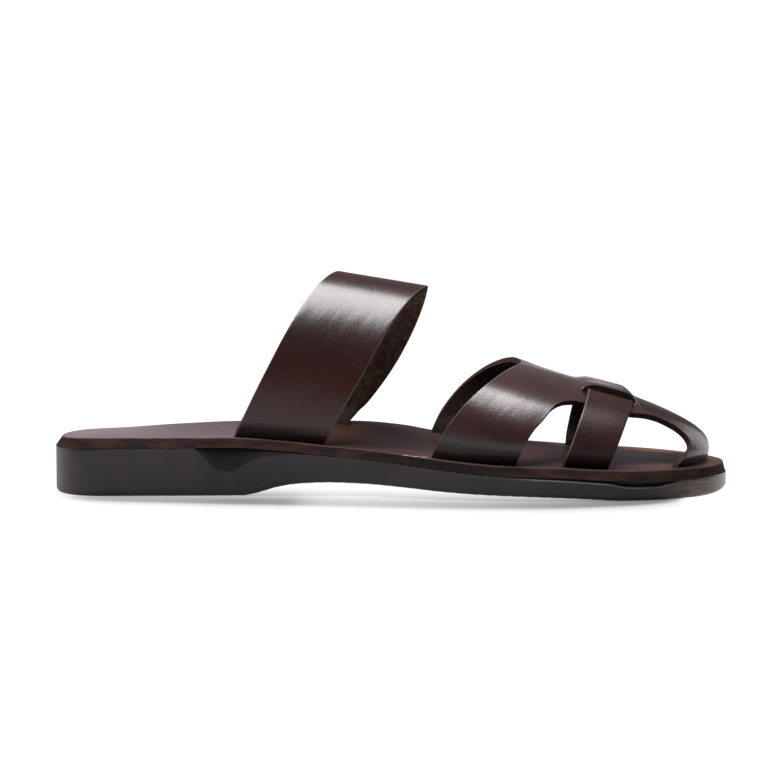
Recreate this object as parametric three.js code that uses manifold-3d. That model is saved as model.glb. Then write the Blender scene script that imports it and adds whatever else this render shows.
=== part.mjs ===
// Closed-toe slide sandal, right shoe, standing empty on its sole.
//
// Millimetres. +X runs from heel to toe, +Y to the inner (medial) side of the foot, +Z up.
// Stations ("at") are distances from the back of the heel; the whole shoe is shifted back by half
// its length at the end, so that its origin is at the middle of what it stands on.
//
// Four pieces: a moulded rubber outsole, a leather footbed on top of it, a wide instep strap and
// the forefoot upper, which is a cut leather vamp with a cross strap woven through it. The strap
// ends go down into slots in the footbed.

import * as THREE from "three";
import { mergeVertices } from "three/addons/utils/BufferGeometryUtils.js";
import Module from "manifold-3d";

const wasm = await Module();
wasm.setup();

// ---------------------------------------------------------------- driving dimensions

const LENGTH = 286;              // heel back to toe tip of the sole
const GAP = 0.3;                 // clearance between two pieces that meet
const FOOTBED_THICKNESS = 3.9;
const VAMP_THICKNESS = 2.4;
const INSTEP_THICKNESS = 2.8;
const CROSS_WIDTH = 18.4;        // of the woven cross strap
const SLOT_MARGIN = 1.2;         // leather left between a slot and the top edge of the footbed
const WELD = 0.15;               // how far joined straps bite into each other
const BOTTOM_EDGE = 0.8;         // rounding of the rubber's bottom edge
const CUTTER = { deep: 5, proud: 3 };         // how far a cutter reaches in and out of the leather
const SLOT_RUNOUT = 2;                        // how far a slot cutter runs out below the footbed
const INSTEP_SLOT = { ends: 0.009, top: 0.9, bottom: 1.04 };
const CROSS_SLOT = { top: 0.84, bottom: 1.05 };

// Cells of each bent box: along, across, through.
const CELLS = {
  outsole: [44, 7, 4],
  footbed: [44, 7, 1],
  instepStrap: [4, 32, 1],
  instepSlot: [4, 4, 1],
  vamp: [28, 24, 1],
  throat: [10, 14, 1],
  sideOpening: [5, 16, 1],
  bay: [4, 6, 1],
  bridge: [8, 4, 1],
};
const CROSS_CELLS = 15;          // along the cross strap, from one foot of the arch to its crown

const HEEL_CAP = { length: 24, power: 2.3 };       // rounding of the outline at the heel
const TOE_CAP = { start: 230, length: 56.2, tip: 4 }; // and at the toe, whose tip leans inwards
const TOE_TUCK = { start: 256, length: 18, height: 9, depth: 2.6 };

// ---------------------------------------------------------------- tables

// Half-widths of the footbed's underside, before the heel and toe are rounded off.
const OUTLINE = table("at lateral medial", [
  [0, 32.2, 32.2],
  [55, 32.0, 32.0],
  [80, 31.0, 32.0],
  [100, 30.6, 32.5],
  [117, 30.9, 33.3],
  [130, 32.8, 35.5],
  [148, 39.0, 39.8],
  [161, 43.3, 43.6],
  [175, 46.8, 46.8],
  [190, 48.8, 48.7],
  [205, 49.4, 49.4],
  [230, 49.3, 48.6],
  [286, 49.0, 46.5],
]);

// Height of the footbed's top face at its two edges: it rises to the arch on the inner side.
const TOP = table("at lateral medial", [
  [0, 22.9, 22.6],
  [20, 24.0, 22.9],
  [50, 24.0, 24.8],
  [75, 24.1, 25.9],
  [100, 22.3, 26.2],
  [117, 20.5, 26.0],
  [130, 19.5, 25.6],
  [148, 17.7, 23.6],
  [161, 16.3, 20.9],
  [175, 14.9, 18.4],
  [190, 13.9, 16.6],
  [209, 13.5, 15.2],
  [232, 12.4, 13.7],
  [258, 12.0, 12.8],
  [286, 11.6, 11.6],
]);

// How far the skived edge of the footbed leans in from underside to top face.
const BEVEL = table("at width", [
  [0, 3.4],
  [60, 3.0],
  [120, 2.6],
  [220, 2.5],
  [255, 2.1],
  [286, 1.4],
]);

// Underside of the outsole: at its edge and on its centre line. Zero is the ground.
const GROUND = table("at edge centre", [
  [0, 0, 0],
  [82, 0, 0],
  [88, 1.3, 1.3],
  [96, 3.6, 3.6],
  [105, 4.9, 4.9],
  [117, 5.35, 5.35],
  [130, 5.1, 5.1],
  [146, 4.3, 4.2],
  [163, 3.0, 2.6],
  [179, 2.2, 1.0],
  [195, 1.7, 0],
  [219, 0.8, 0],
  [236, 0, 0],
  [272, 0, 0],
  [280, 0.4, 0.3],
  [286, 1.6, 1.6],
]);

// How far the rubber wall stands back from the footbed's edge.
const SETBACK = table("at wall", [
  [0, 1.4],
  [100, 1.2],
  [200, 1.2],
  [255, 1.0],
  [280, 0.2],
  [286, 0],
]);

// Scoop in the rubber wall just in front of the heel: lowest height that it reaches.
const SCOOP = table("at floor", [
  [60, 21.0],
  [66, 16.0],
  [73.5, 10.5],
  [81, 13.5],
  [89, 16.6],
  [118, 17.5],
]);
const SCOOP_RANGE = { start: 60, end: 118, depth: 3.4, fade: 5 };

// Outer face of the forefoot last. A row is one arch across the foot: x where it stands, y at its
// two ends, its crown (y, z) and how square it is.
const FOREFOOT = table("at x lateral crownY crownZ medial power", [
  [145, 145, -33.0, 7.5, 75.0, 33.0, 2.3],
  [155, 155, -36.5, 7.0, 70.0, 37.5, 2.3],
  [170, 170, -41.7, 6.5, 64.0, 42.2, 2.3],
  [185, 185, -44.2, 6.0, 57.6, 44.8, 2.25],
  [198, 198, -45.2, 5.0, 53.6, 45.6, 2.2],
  [212, 212, -45.4, 4.0, 49.7, 45.6, 2.15],
  [225, 225, -45.2, 3.5, 45.8, 45.0, 2.1],
  [240, 240, -43.6, 3.0, 41.2, 43.0, 2.1],
  [252, 252, -40.4, 3.0, 36.9, 39.0, 2.1],
  [262, 262, -35.0, 3.0, 32.6, 34.6, 2.1],
  [270, 270, -26.5, 3.0, 28.4, 27.6, 2.1],
  [275, 275, -18.0, 3.0, 24.8, 21.0, 2.1],
  [278, 278, -11.0, 3.0, 21.0, 15.5, 2.1],
  [279.5, 279.2, -7.5, 3.0, 16.0, 12.0, 2.1],
  [280.5, 279.2, -7.5, 3.0, 11.0, 12.0, 2.1],
  [282, 279.0, -7.5, 3.0, 8.0, 12.0, 2.1],
]);
const FOREFOOT_START = 157;
const FOREFOOT_END = 281.7;

// The vamp's cut edges, drawn on the last. "Across" is 0 on the crown and 1 at the foot of the
// arch. A side opening runs from the leg's front edge to the toe piece, whose lateral side is wider.
const THROAT = table("at half", [
  [150, 1.08],
  [156.5, 1.02],
  [163.7, 0.87],
  [169, 0.765],
  [175, 0.645],
  [180.4, 0.535],
  [186, 0.41],
  [191, 0.29],
  [195, 0.18],
  [197.6, 0.09],
  [198.5, 0.02],
]);
const THROAT_RANGE = { start: 150, end: 198.5 };
const SIDE_OPENING = table("across rear lateral medial", [
  [0.36, 252.0, 255.5, 257.0],
  [0.375, 249.0, 258.5, 260.0],
  [0.42, 241.7, 262.1, 264.4],
  [0.43, 230.0, 262.6, 265.0],
  [0.44, 218.9, 263.2, 265.6],
  [0.48, 213.5, 265.1, 267.6],
  [0.57, 208.3, 267.2, 270.4],
  [0.65, 205.5, 267.8, 272.2],
  [0.74, 201.4, 266.8, 273.9],
  [0.83, 198.1, 264.5, 275.2],
  [0.91, 195.2, 261.5, 276.0],
  [1.06, 191.5, 258.5, 276.6],
]);
const SIDE_RANGE = { top: 0.36, bottom: 1.06 };

// The raised bridge between the two slits: where it rises and falls, and its half-width across.
const BRIDGE = { riseStart: 218.5, riseEnd: 231, fallStart: 241.5, fallEnd: 247, half: 0.225 };
const BAY = { start: 223, end: 245.5, half: 0.265 };

// Centre line of the cross strap from the foot of the arch to the crown, and how far its inner face
// stands off the last: negative in the footbed slot, zero on the vamp's margin, back under the bridge.
const CROSS = table("across lateral medial standoff", [
  [0, 235.4, 235.4, -2.4],
  [0.13, 235.0, 235.6, -2.4],
  [0.26, 234.0, 235.5, -0.15],
  [0.44, 232.0, 234.2, -0.15],
  [0.6, 229.3, 232.7, -0.9],
  [0.8, 225.5, 231.0, -2.2],
  [0.92, 222.8, 229.8, -2.4],
  [1, 221.5, 229.2, -2.4],
]);

// Instep strap: its rear and front edges, each an arch that leans forward over the foot. Just above
// the footbed the band has settled back by a few millimetres.
const INSTEP = {
  lateral: { rear: 77.5, front: 116.5, power: 2.22, bulge: 3.2, sweep: 1.27, settle: 3.3 },
  medial: { rear: 85.5, front: 124, power: 1.95, bulge: 3.0, sweep: 2.54, settle: 1.6 },
  crown: { rear: 120, front: 158.7, y: 3, rearZ: 92.1, frontZ: 86.1 },
  settleTop: 0.34,
};

// ---------------------------------------------------------------- small tools

// A table is a list of rows with named columns. Each column becomes a smooth function of the first
// one (a monotone cubic, so it never overshoots a row).
function table(columns, rows) {
  const [, ...names] = columns.split(" ");
  const at = rows.map((row) => row[0]);
  const result = {};
  names.forEach((name, index) => {
    const values = rows.map((row) => row[index + 1]);
    result[name] = monotoneCubic(at, values);
  });
  return result;
}

function monotoneCubic(xs, ys) {
  const last = xs.length - 1;
  const steps = xs.slice(1).map((x, i) => x - xs[i]);
  const slopes = steps.map((step, i) => (ys[i + 1] - ys[i]) / step);
  const tangents = ys.map((_, i) => {
    if (i === 0) return slopes[0];
    if (i === last) return slopes[last - 1];
    if (slopes[i - 1] * slopes[i] <= 0) return 0;
    const before = 2 * steps[i] + steps[i - 1];
    const after = steps[i] + 2 * steps[i - 1];
    return (before + after) / (before / slopes[i - 1] + after / slopes[i]);
  });
  return (x) => {
    const inside = clamp(x, xs[0], xs[last]);
    let i = 0;
    while (i < last - 1 && inside > xs[i + 1]) i += 1;
    const t = (inside - xs[i]) / steps[i];
    const rise = (1 - t) * (1 - t) * (1 + 2 * t) * ys[i] + t * t * (3 - 2 * t) * ys[i + 1];
    const bend = steps[i] * t * (1 - t) * ((1 - t) * tangents[i] - t * tangents[i + 1]);
    return rise + bend;
  };
}

function clamp(value, low, high) {
  return Math.min(Math.max(value, low), high);
}

function lerp(from, to, t) {
  return from + (to - from) * t;
}

function smooth(value) {
  const t = clamp(value, 0, 1);
  return t * t * (3 - 2 * t);
}

// A box of cells whose corners run from 0 to 1, with every corner moved by place(a, b, c).
function bendBox(cells, place) {
  const box = new THREE.BoxGeometry(1, 1, 1, ...cells);
  box.translate(0.5, 0.5, 0.5);
  return bend(box, place);
}

function bend(geometry, place) {
  geometry.deleteAttribute("normal");
  geometry.deleteAttribute("uv");
  const merged = mergeVertices(geometry, 1e-5);
  const position = merged.attributes.position;
  for (let i = 0; i < position.count; i += 1) {
    const moved = place(position.getX(i), position.getY(i), position.getZ(i));
    position.setXYZ(i, moved.x, moved.y, moved.z);
  }
  return merged;
}

function toSolid(geometry) {
  const mesh = new wasm.Mesh({
    numProp: 3,
    vertProperties: new Float32Array(geometry.attributes.position.array),
    triVerts: new Uint32Array(geometry.index.array),
  });
  mesh.merge();
  const solid = new wasm.Manifold(mesh);
  if (solid.volume() > 0) return solid;
  return new wasm.Manifold(flipped(mesh));
}

function flipped(mesh) {
  const triangles = mesh.triVerts.slice();
  for (let i = 0; i < triangles.length; i += 3) {
    [triangles[i], triangles[i + 1]] = [triangles[i + 1], triangles[i]];
  }
  return new wasm.Mesh({ numProp: 3, vertProperties: mesh.vertProperties, triVerts: triangles });
}

function toGeometry(solid) {
  const mesh = solid.getMesh();
  const geometry = new THREE.BufferGeometry();
  geometry.setAttribute("position", new THREE.BufferAttribute(mesh.vertProperties, 3));
  geometry.setIndex(new THREE.BufferAttribute(mesh.triVerts, 1));
  return geometry;
}

// ---------------------------------------------------------------- outline of the sole

function roundOff(at) {
  const heel = clamp(1 - at / HEEL_CAP.length, 0, 1);
  const toe = clamp((at - TOE_CAP.start) / TOE_CAP.length, 0, 0.997);
  return (1 - heel ** HEEL_CAP.power) ** (1 / HEEL_CAP.power) * Math.sqrt(1 - toe * toe);
}

// Edge of the footbed's underside. side is -1 for lateral and +1 for medial.
function edge(at, side) {
  const shrink = Math.max(roundOff(at), 0.16);
  const half = side < 0 ? OUTLINE.lateral(at) : OUTLINE.medial(at);
  const centre = at > TOE_CAP.start ? TOE_CAP.tip * (1 - shrink) : 0;
  return centre + side * half * shrink;
}

// A point on that edge moved inwards, square to the edge, by inset.
function insetEdge(at, side, inset) {
  const step = 0.4;
  const back = clamp(at - step, 0, LENGTH);
  const ahead = clamp(at + step, 0, LENGTH);
  const alongX = ahead - back;
  const alongY = edge(ahead, side) - edge(back, side);
  const length = Math.hypot(alongX, alongY);
  const inwards = new THREE.Vector2((side * alongY) / length, (-side * alongX) / length);
  if (at < step) inwards.set(1, 0);
  if (at > LENGTH - step) inwards.set(-1, 0);
  return new THREE.Vector2(at, edge(at, side)).addScaledVector(inwards, inset);
}

// Stations crowd together towards the heel and the toe, where the outline turns.
function station(a) {
  return LENGTH * (a - (0.93 * Math.sin(2 * Math.PI * a)) / (2 * Math.PI));
}

// Height of the footbed's top face at a fraction of the way across, from lateral to medial.
function rowTop(at, across) {
  return lerp(TOP.lateral(at), TOP.medial(at), across ** 1.6);
}

function footbedTop(at, y) {
  const bevel = BEVEL.width(at);
  const lateral = edge(at, -1) + bevel;
  const medial = edge(at, 1) - bevel;
  return rowTop(at, clamp((y - lateral) / (medial - lateral), 0, 1));
}

function acrossSole(a, b, inset) {
  const at = station(a);
  const lateral = insetEdge(at, -1, inset);
  const medial = insetEdge(at, 1, inset);
  return new THREE.Vector2().lerpVectors(lateral, medial, b);
}

// ---------------------------------------------------------------- straps

// A point of an arch: fullness 0 at its foot, 1 on its crown.
function archPoint(foot, crown, fullness, power, bulge) {
  const angle = (fullness * Math.PI) / 2;
  const reach = Math.abs(Math.cos(angle)) ** (2 / power);
  const rise = Math.sign(Math.sin(angle)) * Math.abs(Math.sin(angle)) ** (2 / power);
  const swell = bulge * Math.sin(Math.PI * clamp(fullness, 0, 1)) * reach;
  const y = crown.y + (foot.y - crown.y) * reach + Math.sign(foot.y) * swell;
  return { y, z: foot.z + (crown.z - foot.z) * rise };
}

// Outer face of the forefoot upper. across runs from -1 (lateral foot) over 0 (crown) to +1.
function forefootFace(at, across) {
  const x = FOREFOOT.x(at);
  const y = across < 0 ? FOREFOOT.lateral(at) : FOREFOOT.medial(at);
  const ground = footbedTop(x, y);
  const foot = { y, z: ground - FOOTBED_THICKNESS };
  const crown = { y: FOREFOOT.crownY(at), z: Math.max(FOREFOOT.crownZ(at), foot.z + 0.4) };
  const point = archPoint(foot, crown, 1 - Math.abs(across), FOREFOOT.power(at), 0);
  const low = clamp(1 - (point.z - ground) / TOE_TUCK.height, 0, 1);
  const tuck = TOE_TUCK.depth * smooth((x - TOE_TUCK.start) / TOE_TUCK.length) * low * low;
  return new THREE.Vector3(x - tuck, point.y, point.z);
}

// Outer face of the instep strap. along runs from its rear edge (0) to its front edge (1).
function instepFace(along, across) {
  const side = INSTEP[across < 0 ? "lateral" : "medial"];
  const sign = across < 0 ? -1 : 1;
  const fullness = 1 - Math.abs(across);
  const low = clamp(1 - fullness / INSTEP.settleTop, 0, 1);
  const settle = side.settle * lerp(0.4, 1, along);
  const baseX = lerp(side.rear, side.front, along);
  const footX = baseX - settle;
  const footY = edge(footX, sign) - sign * (BEVEL.width(footX) + SLOT_MARGIN);
  const foot = { y: footY, z: footbedTop(footX, footY) - FOOTBED_THICKNESS };
  const crown = { y: INSTEP.crown.y, z: lerp(INSTEP.crown.rearZ, INSTEP.crown.frontZ, along) };
  const point = archPoint(foot, crown, fullness, side.power, side.bulge);
  const crownX = lerp(INSTEP.crown.rear, INSTEP.crown.front, along);
  const forward = 1 - (1 - Math.min(fullness, 1)) ** side.sweep;
  return new THREE.Vector3(lerp(baseX, crownX, forward) - settle * low ** 1.5, point.y, point.z);
}

// A point off a face by depth, square to it: positive is outwards.
function offFace(face, along, across, depth, alongStep) {
  const acrossStep = 0.004;
  const here = face(along, across);
  const alongWay = face(along + alongStep, across).sub(face(along - alongStep, across));
  const acrossWay = face(along, across + acrossStep).sub(face(along, across - acrossStep));
  const outwards = alongWay.cross(acrossWay).normalize();
  return here.addScaledVector(outwards, depth);
}

function offForefoot(at, across, depth) {
  return offFace(forefootFace, at, across, depth, 0.25);
}

// A cutter that goes right through the forefoot. outline(a, b) gives at and across of a corner.
function forefootCutter(cells, outline) {
  return toSolid(bendBox(cells, (a, b, c) => {
    const [at, across] = outline(a, b);
    return offForefoot(at, across, lerp(-CUTTER.deep, CUTTER.proud, c));
  }));
}

function throatCutter(shrink) {
  return forefootCutter(CELLS.throat, (a, b) => {
    const at = lerp(THROAT_RANGE.start, THROAT_RANGE.end, Math.sin((a * Math.PI) / 2));
    return [at - shrink, lerp(-1, 1, b) * THROAT.half(at)];
  });
}

function sideCutter(side, shrink) {
  return forefootCutter(CELLS.sideOpening, (a, b) => {
    const across = lerp(SIDE_RANGE.top, SIDE_RANGE.bottom, b);
    const rear = SIDE_OPENING.rear(across) + shrink;
    const front = SIDE_OPENING[side < 0 ? "lateral" : "medial"](across) - shrink;
    return [lerp(rear, front, a), side * across];
  });
}

function bayCutter() {
  return forefootCutter(CELLS.bay, (a, b) => {
    return [lerp(BAY.start, BAY.end, a), lerp(-BAY.half, BAY.half, b)];
  });
}

// The vamp as cut, before anything is woven through it. Grown, it is the cutter for its own slots
// in the footbed, run out below.
function vamp(grow) {
  const shell = bendBox(CELLS.vamp, (a, b, c) => {
    const at = lerp(FOREFOOT_START, FOREFOOT_END, 1 - (1 - a) ** 1.35);
    const point = offForefoot(at, lerp(-1, 1, b), lerp(-VAMP_THICKNESS - grow, grow, c));
    const lowest = b === 0 || b === 1 || a === 1;
    return grow > 0 && lowest ? point.setZ(point.z - SLOT_RUNOUT) : point;
  });
  return toSolid(shell)
    .subtract(throatCutter(grow))
    .subtract(sideCutter(-1, grow))
    .subtract(sideCutter(1, grow));
}

// Leather between the slits, lifted over the cross strap.
function bridge() {
  return toSolid(bendBox(CELLS.bridge, (a, b, c) => {
    const at = lerp(BRIDGE.riseStart, BRIDGE.fallEnd, a);
    const rising = smooth((at - BRIDGE.riseStart) / (BRIDGE.riseEnd - BRIDGE.riseStart));
    const falling = smooth((BRIDGE.fallEnd - at) / (BRIDGE.fallEnd - BRIDGE.fallStart));
    const lift = (VAMP_THICKNESS - WELD) * Math.min(rising, falling);
    const across = lerp(-BRIDGE.half, BRIDGE.half, b);
    return offForefoot(at, across, lift + lerp(-VAMP_THICKNESS, 0, c));
  }));
}

// The woven strap, or a stretch of it grown into a slot cutter.
function crossStrap(grow, from, to) {
  const half = CROSS_WIDTH / 2 + grow;
  const cells = [2, Math.ceil(CROSS_CELLS * Math.abs(to - from)), 1];
  return toSolid(bendBox(cells, (a, b, c) => {
    const across = lerp(from, to, b);
    const reach = Math.min(Math.abs(across), 1);
    const at = CROSS[across < 0 ? "lateral" : "medial"](reach) + lerp(-half, half, a);
    const inner = CROSS.standoff(reach);
    return offForefoot(at, across, lerp(inner - grow, inner + VAMP_THICKNESS + grow, c));
  }));
}

function forefootUpper() {
  return vamp(0).subtract(bayCutter()).add(bridge()).add(crossStrap(0, -1, 1));
}

function instepStrap() {
  return toSolid(bendBox(CELLS.instepStrap, (a, b, c) => {
    return offFace(instepFace, a, lerp(-1, 1, b), lerp(-INSTEP_THICKNESS, 0, c), 0.01);
  }));
}

// ---------------------------------------------------------------- footbed and its slots

function crossSlot(side) {
  return crossStrap(GAP, side * CROSS_SLOT.top, side * CROSS_SLOT.bottom);
}

function instepSlot(side) {
  return toSolid(bendBox(CELLS.instepSlot, (a, b, c) => {
    const along = lerp(-INSTEP_SLOT.ends, 1 + INSTEP_SLOT.ends, a);
    const across = side * lerp(INSTEP_SLOT.top, INSTEP_SLOT.bottom, b);
    const depth = lerp(-INSTEP_THICKNESS - GAP, GAP, c);
    return offFace(instepFace, along, across, depth, 0.01);
  }));
}

function footbedSlab() {
  return toSolid(bendBox(CELLS.footbed, (a, b, c) => {
    const point = acrossSole(a, b, lerp(0, BEVEL.width(station(a)), c));
    const top = rowTop(station(a), b);
    return new THREE.Vector3(point.x, point.y, lerp(top - FOOTBED_THICKNESS, top, c));
  }));
}

function footbed() {
  const slots = [vamp(GAP), crossSlot(-1), crossSlot(1), instepSlot(-1), instepSlot(1)];
  return slots.reduce((solid, slot) => solid.subtract(slot), footbedSlab());
}

// ---------------------------------------------------------------- outsole

function scoopDepth(at, height) {
  if (at < SCOOP_RANGE.start || at > SCOOP_RANGE.end) return 0;
  return SCOOP_RANGE.depth * smooth((height - SCOOP.floor(at)) / SCOOP_RANGE.fade);
}

// Underside of the footbed above a point, which the top of the rubber keeps clear of.
function footbedUnderside(at, y) {
  const lateral = edge(at, -1);
  const across = clamp((y - lateral) / (edge(at, 1) - lateral), 0, 1);
  return rowTop(at, across) - FOOTBED_THICKNESS;
}

function outsole() {
  return toSolid(bendBox(CELLS.outsole, (a, b, c) => {
    const at = station(a);
    const floor = lerp(GROUND.centre(at), GROUND.edge(at), Math.abs(2 * b - 1) ** 3);
    const level = lerp(floor, rowTop(at, b) - FOOTBED_THICKNESS, c);
    const rounded = c === 0 ? BOTTOM_EDGE : 0;
    const point = acrossSole(a, b, SETBACK.wall(at) + rounded + scoopDepth(at, level));
    const ceiling = footbedUnderside(at, point.y) - GAP;
    return new THREE.Vector3(point.x, point.y, lerp(floor, ceiling, c));
  }));
}

// ---------------------------------------------------------------- assembly

function piece(name, solid, color, roughness) {
  const material = new THREE.MeshStandardMaterial({ color, roughness, metalness: 0 });
  const mesh = new THREE.Mesh(toGeometry(solid), material);
  mesh.name = name;
  return mesh;
}

const sandal = new THREE.Group();
sandal.name = "sandal";
sandal.add(piece("outsole", outsole(), 0x2b2a2a, 0.55));
sandal.add(piece("footbed", footbed(), 0x4a2f2a, 0.5));
sandal.add(piece("instep_strap", instepStrap(), 0x3b231e, 0.35));
sandal.add(piece("forefoot_upper", forefootUpper(), 0x3b231e, 0.35));
sandal.position.x = -LENGTH / 2;

export default sandal;
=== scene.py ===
"""Closed-toe slide sandal, right shoe: leather upper and footbed on a moulded rubber sole.

Sizes are in millimetres unless a name says otherwise. A station, "at", is a distance from the back
of the heel, y is positive towards the inner side of the foot and z is up. "Across" runs over an
arch, from -1 at its outer (lateral) foot over 0 on its crown to +1 at its inner (medial) foot.
"""

import logging
import math
from bisect import bisect_right
from dataclasses import dataclass, field
from enum import IntEnum
from functools import cached_property, partial
from typing import Any, Callable, Optional, Sequence, Union

import bmesh
import bpy
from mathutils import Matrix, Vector
from mathutils.kdtree import KDTree


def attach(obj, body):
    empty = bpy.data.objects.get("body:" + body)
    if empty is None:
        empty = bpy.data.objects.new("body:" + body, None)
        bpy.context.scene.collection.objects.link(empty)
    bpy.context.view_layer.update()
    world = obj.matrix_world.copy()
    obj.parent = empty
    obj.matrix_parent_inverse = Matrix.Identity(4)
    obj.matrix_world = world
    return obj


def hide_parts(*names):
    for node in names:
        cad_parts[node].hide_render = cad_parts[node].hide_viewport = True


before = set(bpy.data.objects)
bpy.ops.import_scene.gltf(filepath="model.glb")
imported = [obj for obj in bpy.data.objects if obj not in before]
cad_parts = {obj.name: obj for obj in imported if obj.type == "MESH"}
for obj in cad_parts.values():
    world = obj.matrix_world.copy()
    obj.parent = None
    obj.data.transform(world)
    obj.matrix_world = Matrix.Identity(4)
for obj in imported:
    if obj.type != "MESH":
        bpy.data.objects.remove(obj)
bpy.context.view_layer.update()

log = logging.getLogger("sandal")

MM = 0.001                    # metres in a millimetre
LENGTH = 286.0                # of the sole
LEATHER = 2.4                 # thickness of the vamp and of the woven strap
INSTEP_LEATHER = 2.8          # the wide strap is cut from a thicker hide
FOOTBED_LEATHER = 3.9
SLOT_GAP = 0.3                # play round a strap end in its slot
GLUE_GAP = 0.1                # between the rubber and the leather that is glued on it
HAIR = 1e-3                   # in cells: what a slit's two lips differ by while a slab is flat


class Side(IntEnum):
    """Outer or inner side of the foot; the number is the sign of y."""

    LATERAL = -1
    MEDIAL = 1


class Hide(IntEnum):
    """What shows on a face of cut leather; the number is its material slot."""

    GRAIN = 0
    FLESH = 1
    CUT = 2


# ---------------------------------------------------------------- small tools


def clamp(value: float, low: float = 0.0, high: float = 1.0) -> float:
    """Keeps a value between two limits."""
    return min(max(value, low), high)


def lerp(start: float, end: float, t: float) -> float:
    """Straight line from start (t = 0) to end (t = 1)."""
    return start + (end - start) * t


def smooth(value: float, start: float = 0.0, end: float = 1.0) -> float:
    """Soft step from 0 at start to 1 at end."""
    t = clamp((value - start) / (end - start))
    return t * t * (3 - 2 * t)


def side_name(across: float) -> str:
    """Names the side of the foot that a sign stands for."""
    return "lateral" if across < 0 else "medial"


def x_at(at: float) -> float:
    """Turns a station into x of the shared frame in metres."""
    return (at - LENGTH / 2) * MM


def placed(at: float, y: float, z: float) -> Vector:
    """Turns a station, y and z in millimetres into a point of the shared frame in metres."""
    return Vector((x_at(at), y * MM, z * MM))


def linear(code: str) -> tuple[float, float, float, float]:
    """Turns an sRGB hex colour into the linear colour that a shader takes.

    Args:
        code: six hex digits, such as "1F1110".

    Returns:
        Red, green, blue and an alpha of 1.
    """
    channels = (int(code[i:i + 2], 16) / 255 for i in (0, 2, 4))
    red, green, blue = (c / 12.92 if c <= 0.04045 else ((c + 0.055) / 1.055) ** 2.4 for c in channels)
    return (red, green, blue, 1.0)


class Curve:
    """A smooth line through given points: a monotone cubic, which overshoots none of them."""

    def __init__(self, xs: Sequence[float], ys: Sequence[float]) -> None:
        """Works out the tangents.

        Args:
            xs: where the points are, rising.
            ys: their values.
        """
        self.xs, self.ys = list(xs), list(ys)
        steps = [b - a for a, b in zip(self.xs, self.xs[1:])]
        slopes = [(b - a) / s for a, b, s in zip(self.ys, self.ys[1:], steps)]
        self.tangents = [slopes[0]]
        for i in range(1, len(slopes)):
            if slopes[i - 1] * slopes[i] <= 0:
                self.tangents.append(0.0)
                continue
            near = 2 * steps[i] + steps[i - 1]
            far = steps[i] + 2 * steps[i - 1]
            self.tangents.append((near + far) / (near / slopes[i - 1] + far / slopes[i]))
        self.tangents.append(slopes[-1])

    def __call__(self, x: float) -> float:
        """Reads the curve.

        Args:
            x: where; beyond its ends it is level.

        Returns:
            Its value there.
        """
        x = clamp(x, self.xs[0], self.xs[-1])
        i = min(max(bisect_right(self.xs, x) - 1, 0), len(self.xs) - 2)
        step = self.xs[i + 1] - self.xs[i]
        t = (x - self.xs[i]) / step
        rise = (1 - t) ** 2 * (1 + 2 * t) * self.ys[i] + t * t * (3 - 2 * t) * self.ys[i + 1]
        return rise + step * t * (1 - t) * ((1 - t) * self.tangents[i] - t * self.tangents[i + 1])


def table(columns: str, rows: Sequence[Sequence[float]]) -> dict[str, Curve]:
    """Makes a smooth curve of each column against the first one.

    Args:
        columns: the column names, with the first one's left out.
        rows: the numbers, each row starting with where it stands.

    Returns:
        The curves by name.
    """
    stands = [row[0] for row in rows]
    return {name: Curve(stands, [row[i + 1] for row in rows]) for i, name in enumerate(columns.split())}


# ---------------------------------------------------------------- patterns of the last and the sole

# Half-widths of the footbed's underside, before the heel and the toe are rounded off.
OUTLINE = table("lateral medial", [
    (0, 32.2, 32.2), (55, 32.0, 32.0), (80, 31.0, 32.0), (100, 30.6, 32.5), (117, 30.9, 33.3),
    (130, 32.8, 35.5), (148, 39.0, 39.8), (161, 43.3, 43.6), (175, 46.8, 46.8), (190, 48.8, 48.7),
    (205, 49.4, 49.4), (230, 49.3, 48.6), (286, 49.0, 46.5),
])

# Height of the footbed's top face at its two edges.
TOP = table("lateral medial", [
    (0, 22.9, 22.6), (20, 24.0, 22.9), (50, 24.0, 24.8), (75, 24.1, 25.9), (100, 22.3, 26.2),
    (117, 20.5, 26.0), (130, 19.5, 25.6), (148, 17.7, 23.6), (161, 16.3, 20.9), (175, 14.9, 18.4),
    (190, 13.9, 16.6), (209, 13.5, 15.2), (232, 12.4, 13.7), (258, 12.0, 12.8), (286, 11.6, 11.6),
])

# How far the footbed's skived edge leans in from foot to top, and how far the rubber wall stands back.
EDGES = table("bevel setback", [
    (0, 3.4, 0.6), (60, 3.0, 0.5), (100, 2.75, 0.5), (120, 2.6, 0.5), (200, 2.5, 0.5),
    (220, 2.5, 0.6), (255, 2.1, 0.5), (280, 1.55, 0.2), (286, 1.4, 0.1),
])

# Underside of the rubber at its edge and on its centre line; zero is the ground.
GROUND = table("edge centre", [
    (0, 0, 0), (82, 0, 0), (88, 1.3, 1.3), (96, 3.6, 3.6), (105, 4.9, 4.9), (117, 5.35, 5.35),
    (130, 5.1, 5.1), (146, 4.3, 4.2), (163, 3.0, 2.6), (179, 2.2, 1.0), (195, 1.7, 0), (219, 0.8, 0),
    (236, 0, 0), (272, 0, 0), (280, 0.4, 0.3), (286, 1.6, 1.6),
])

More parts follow.
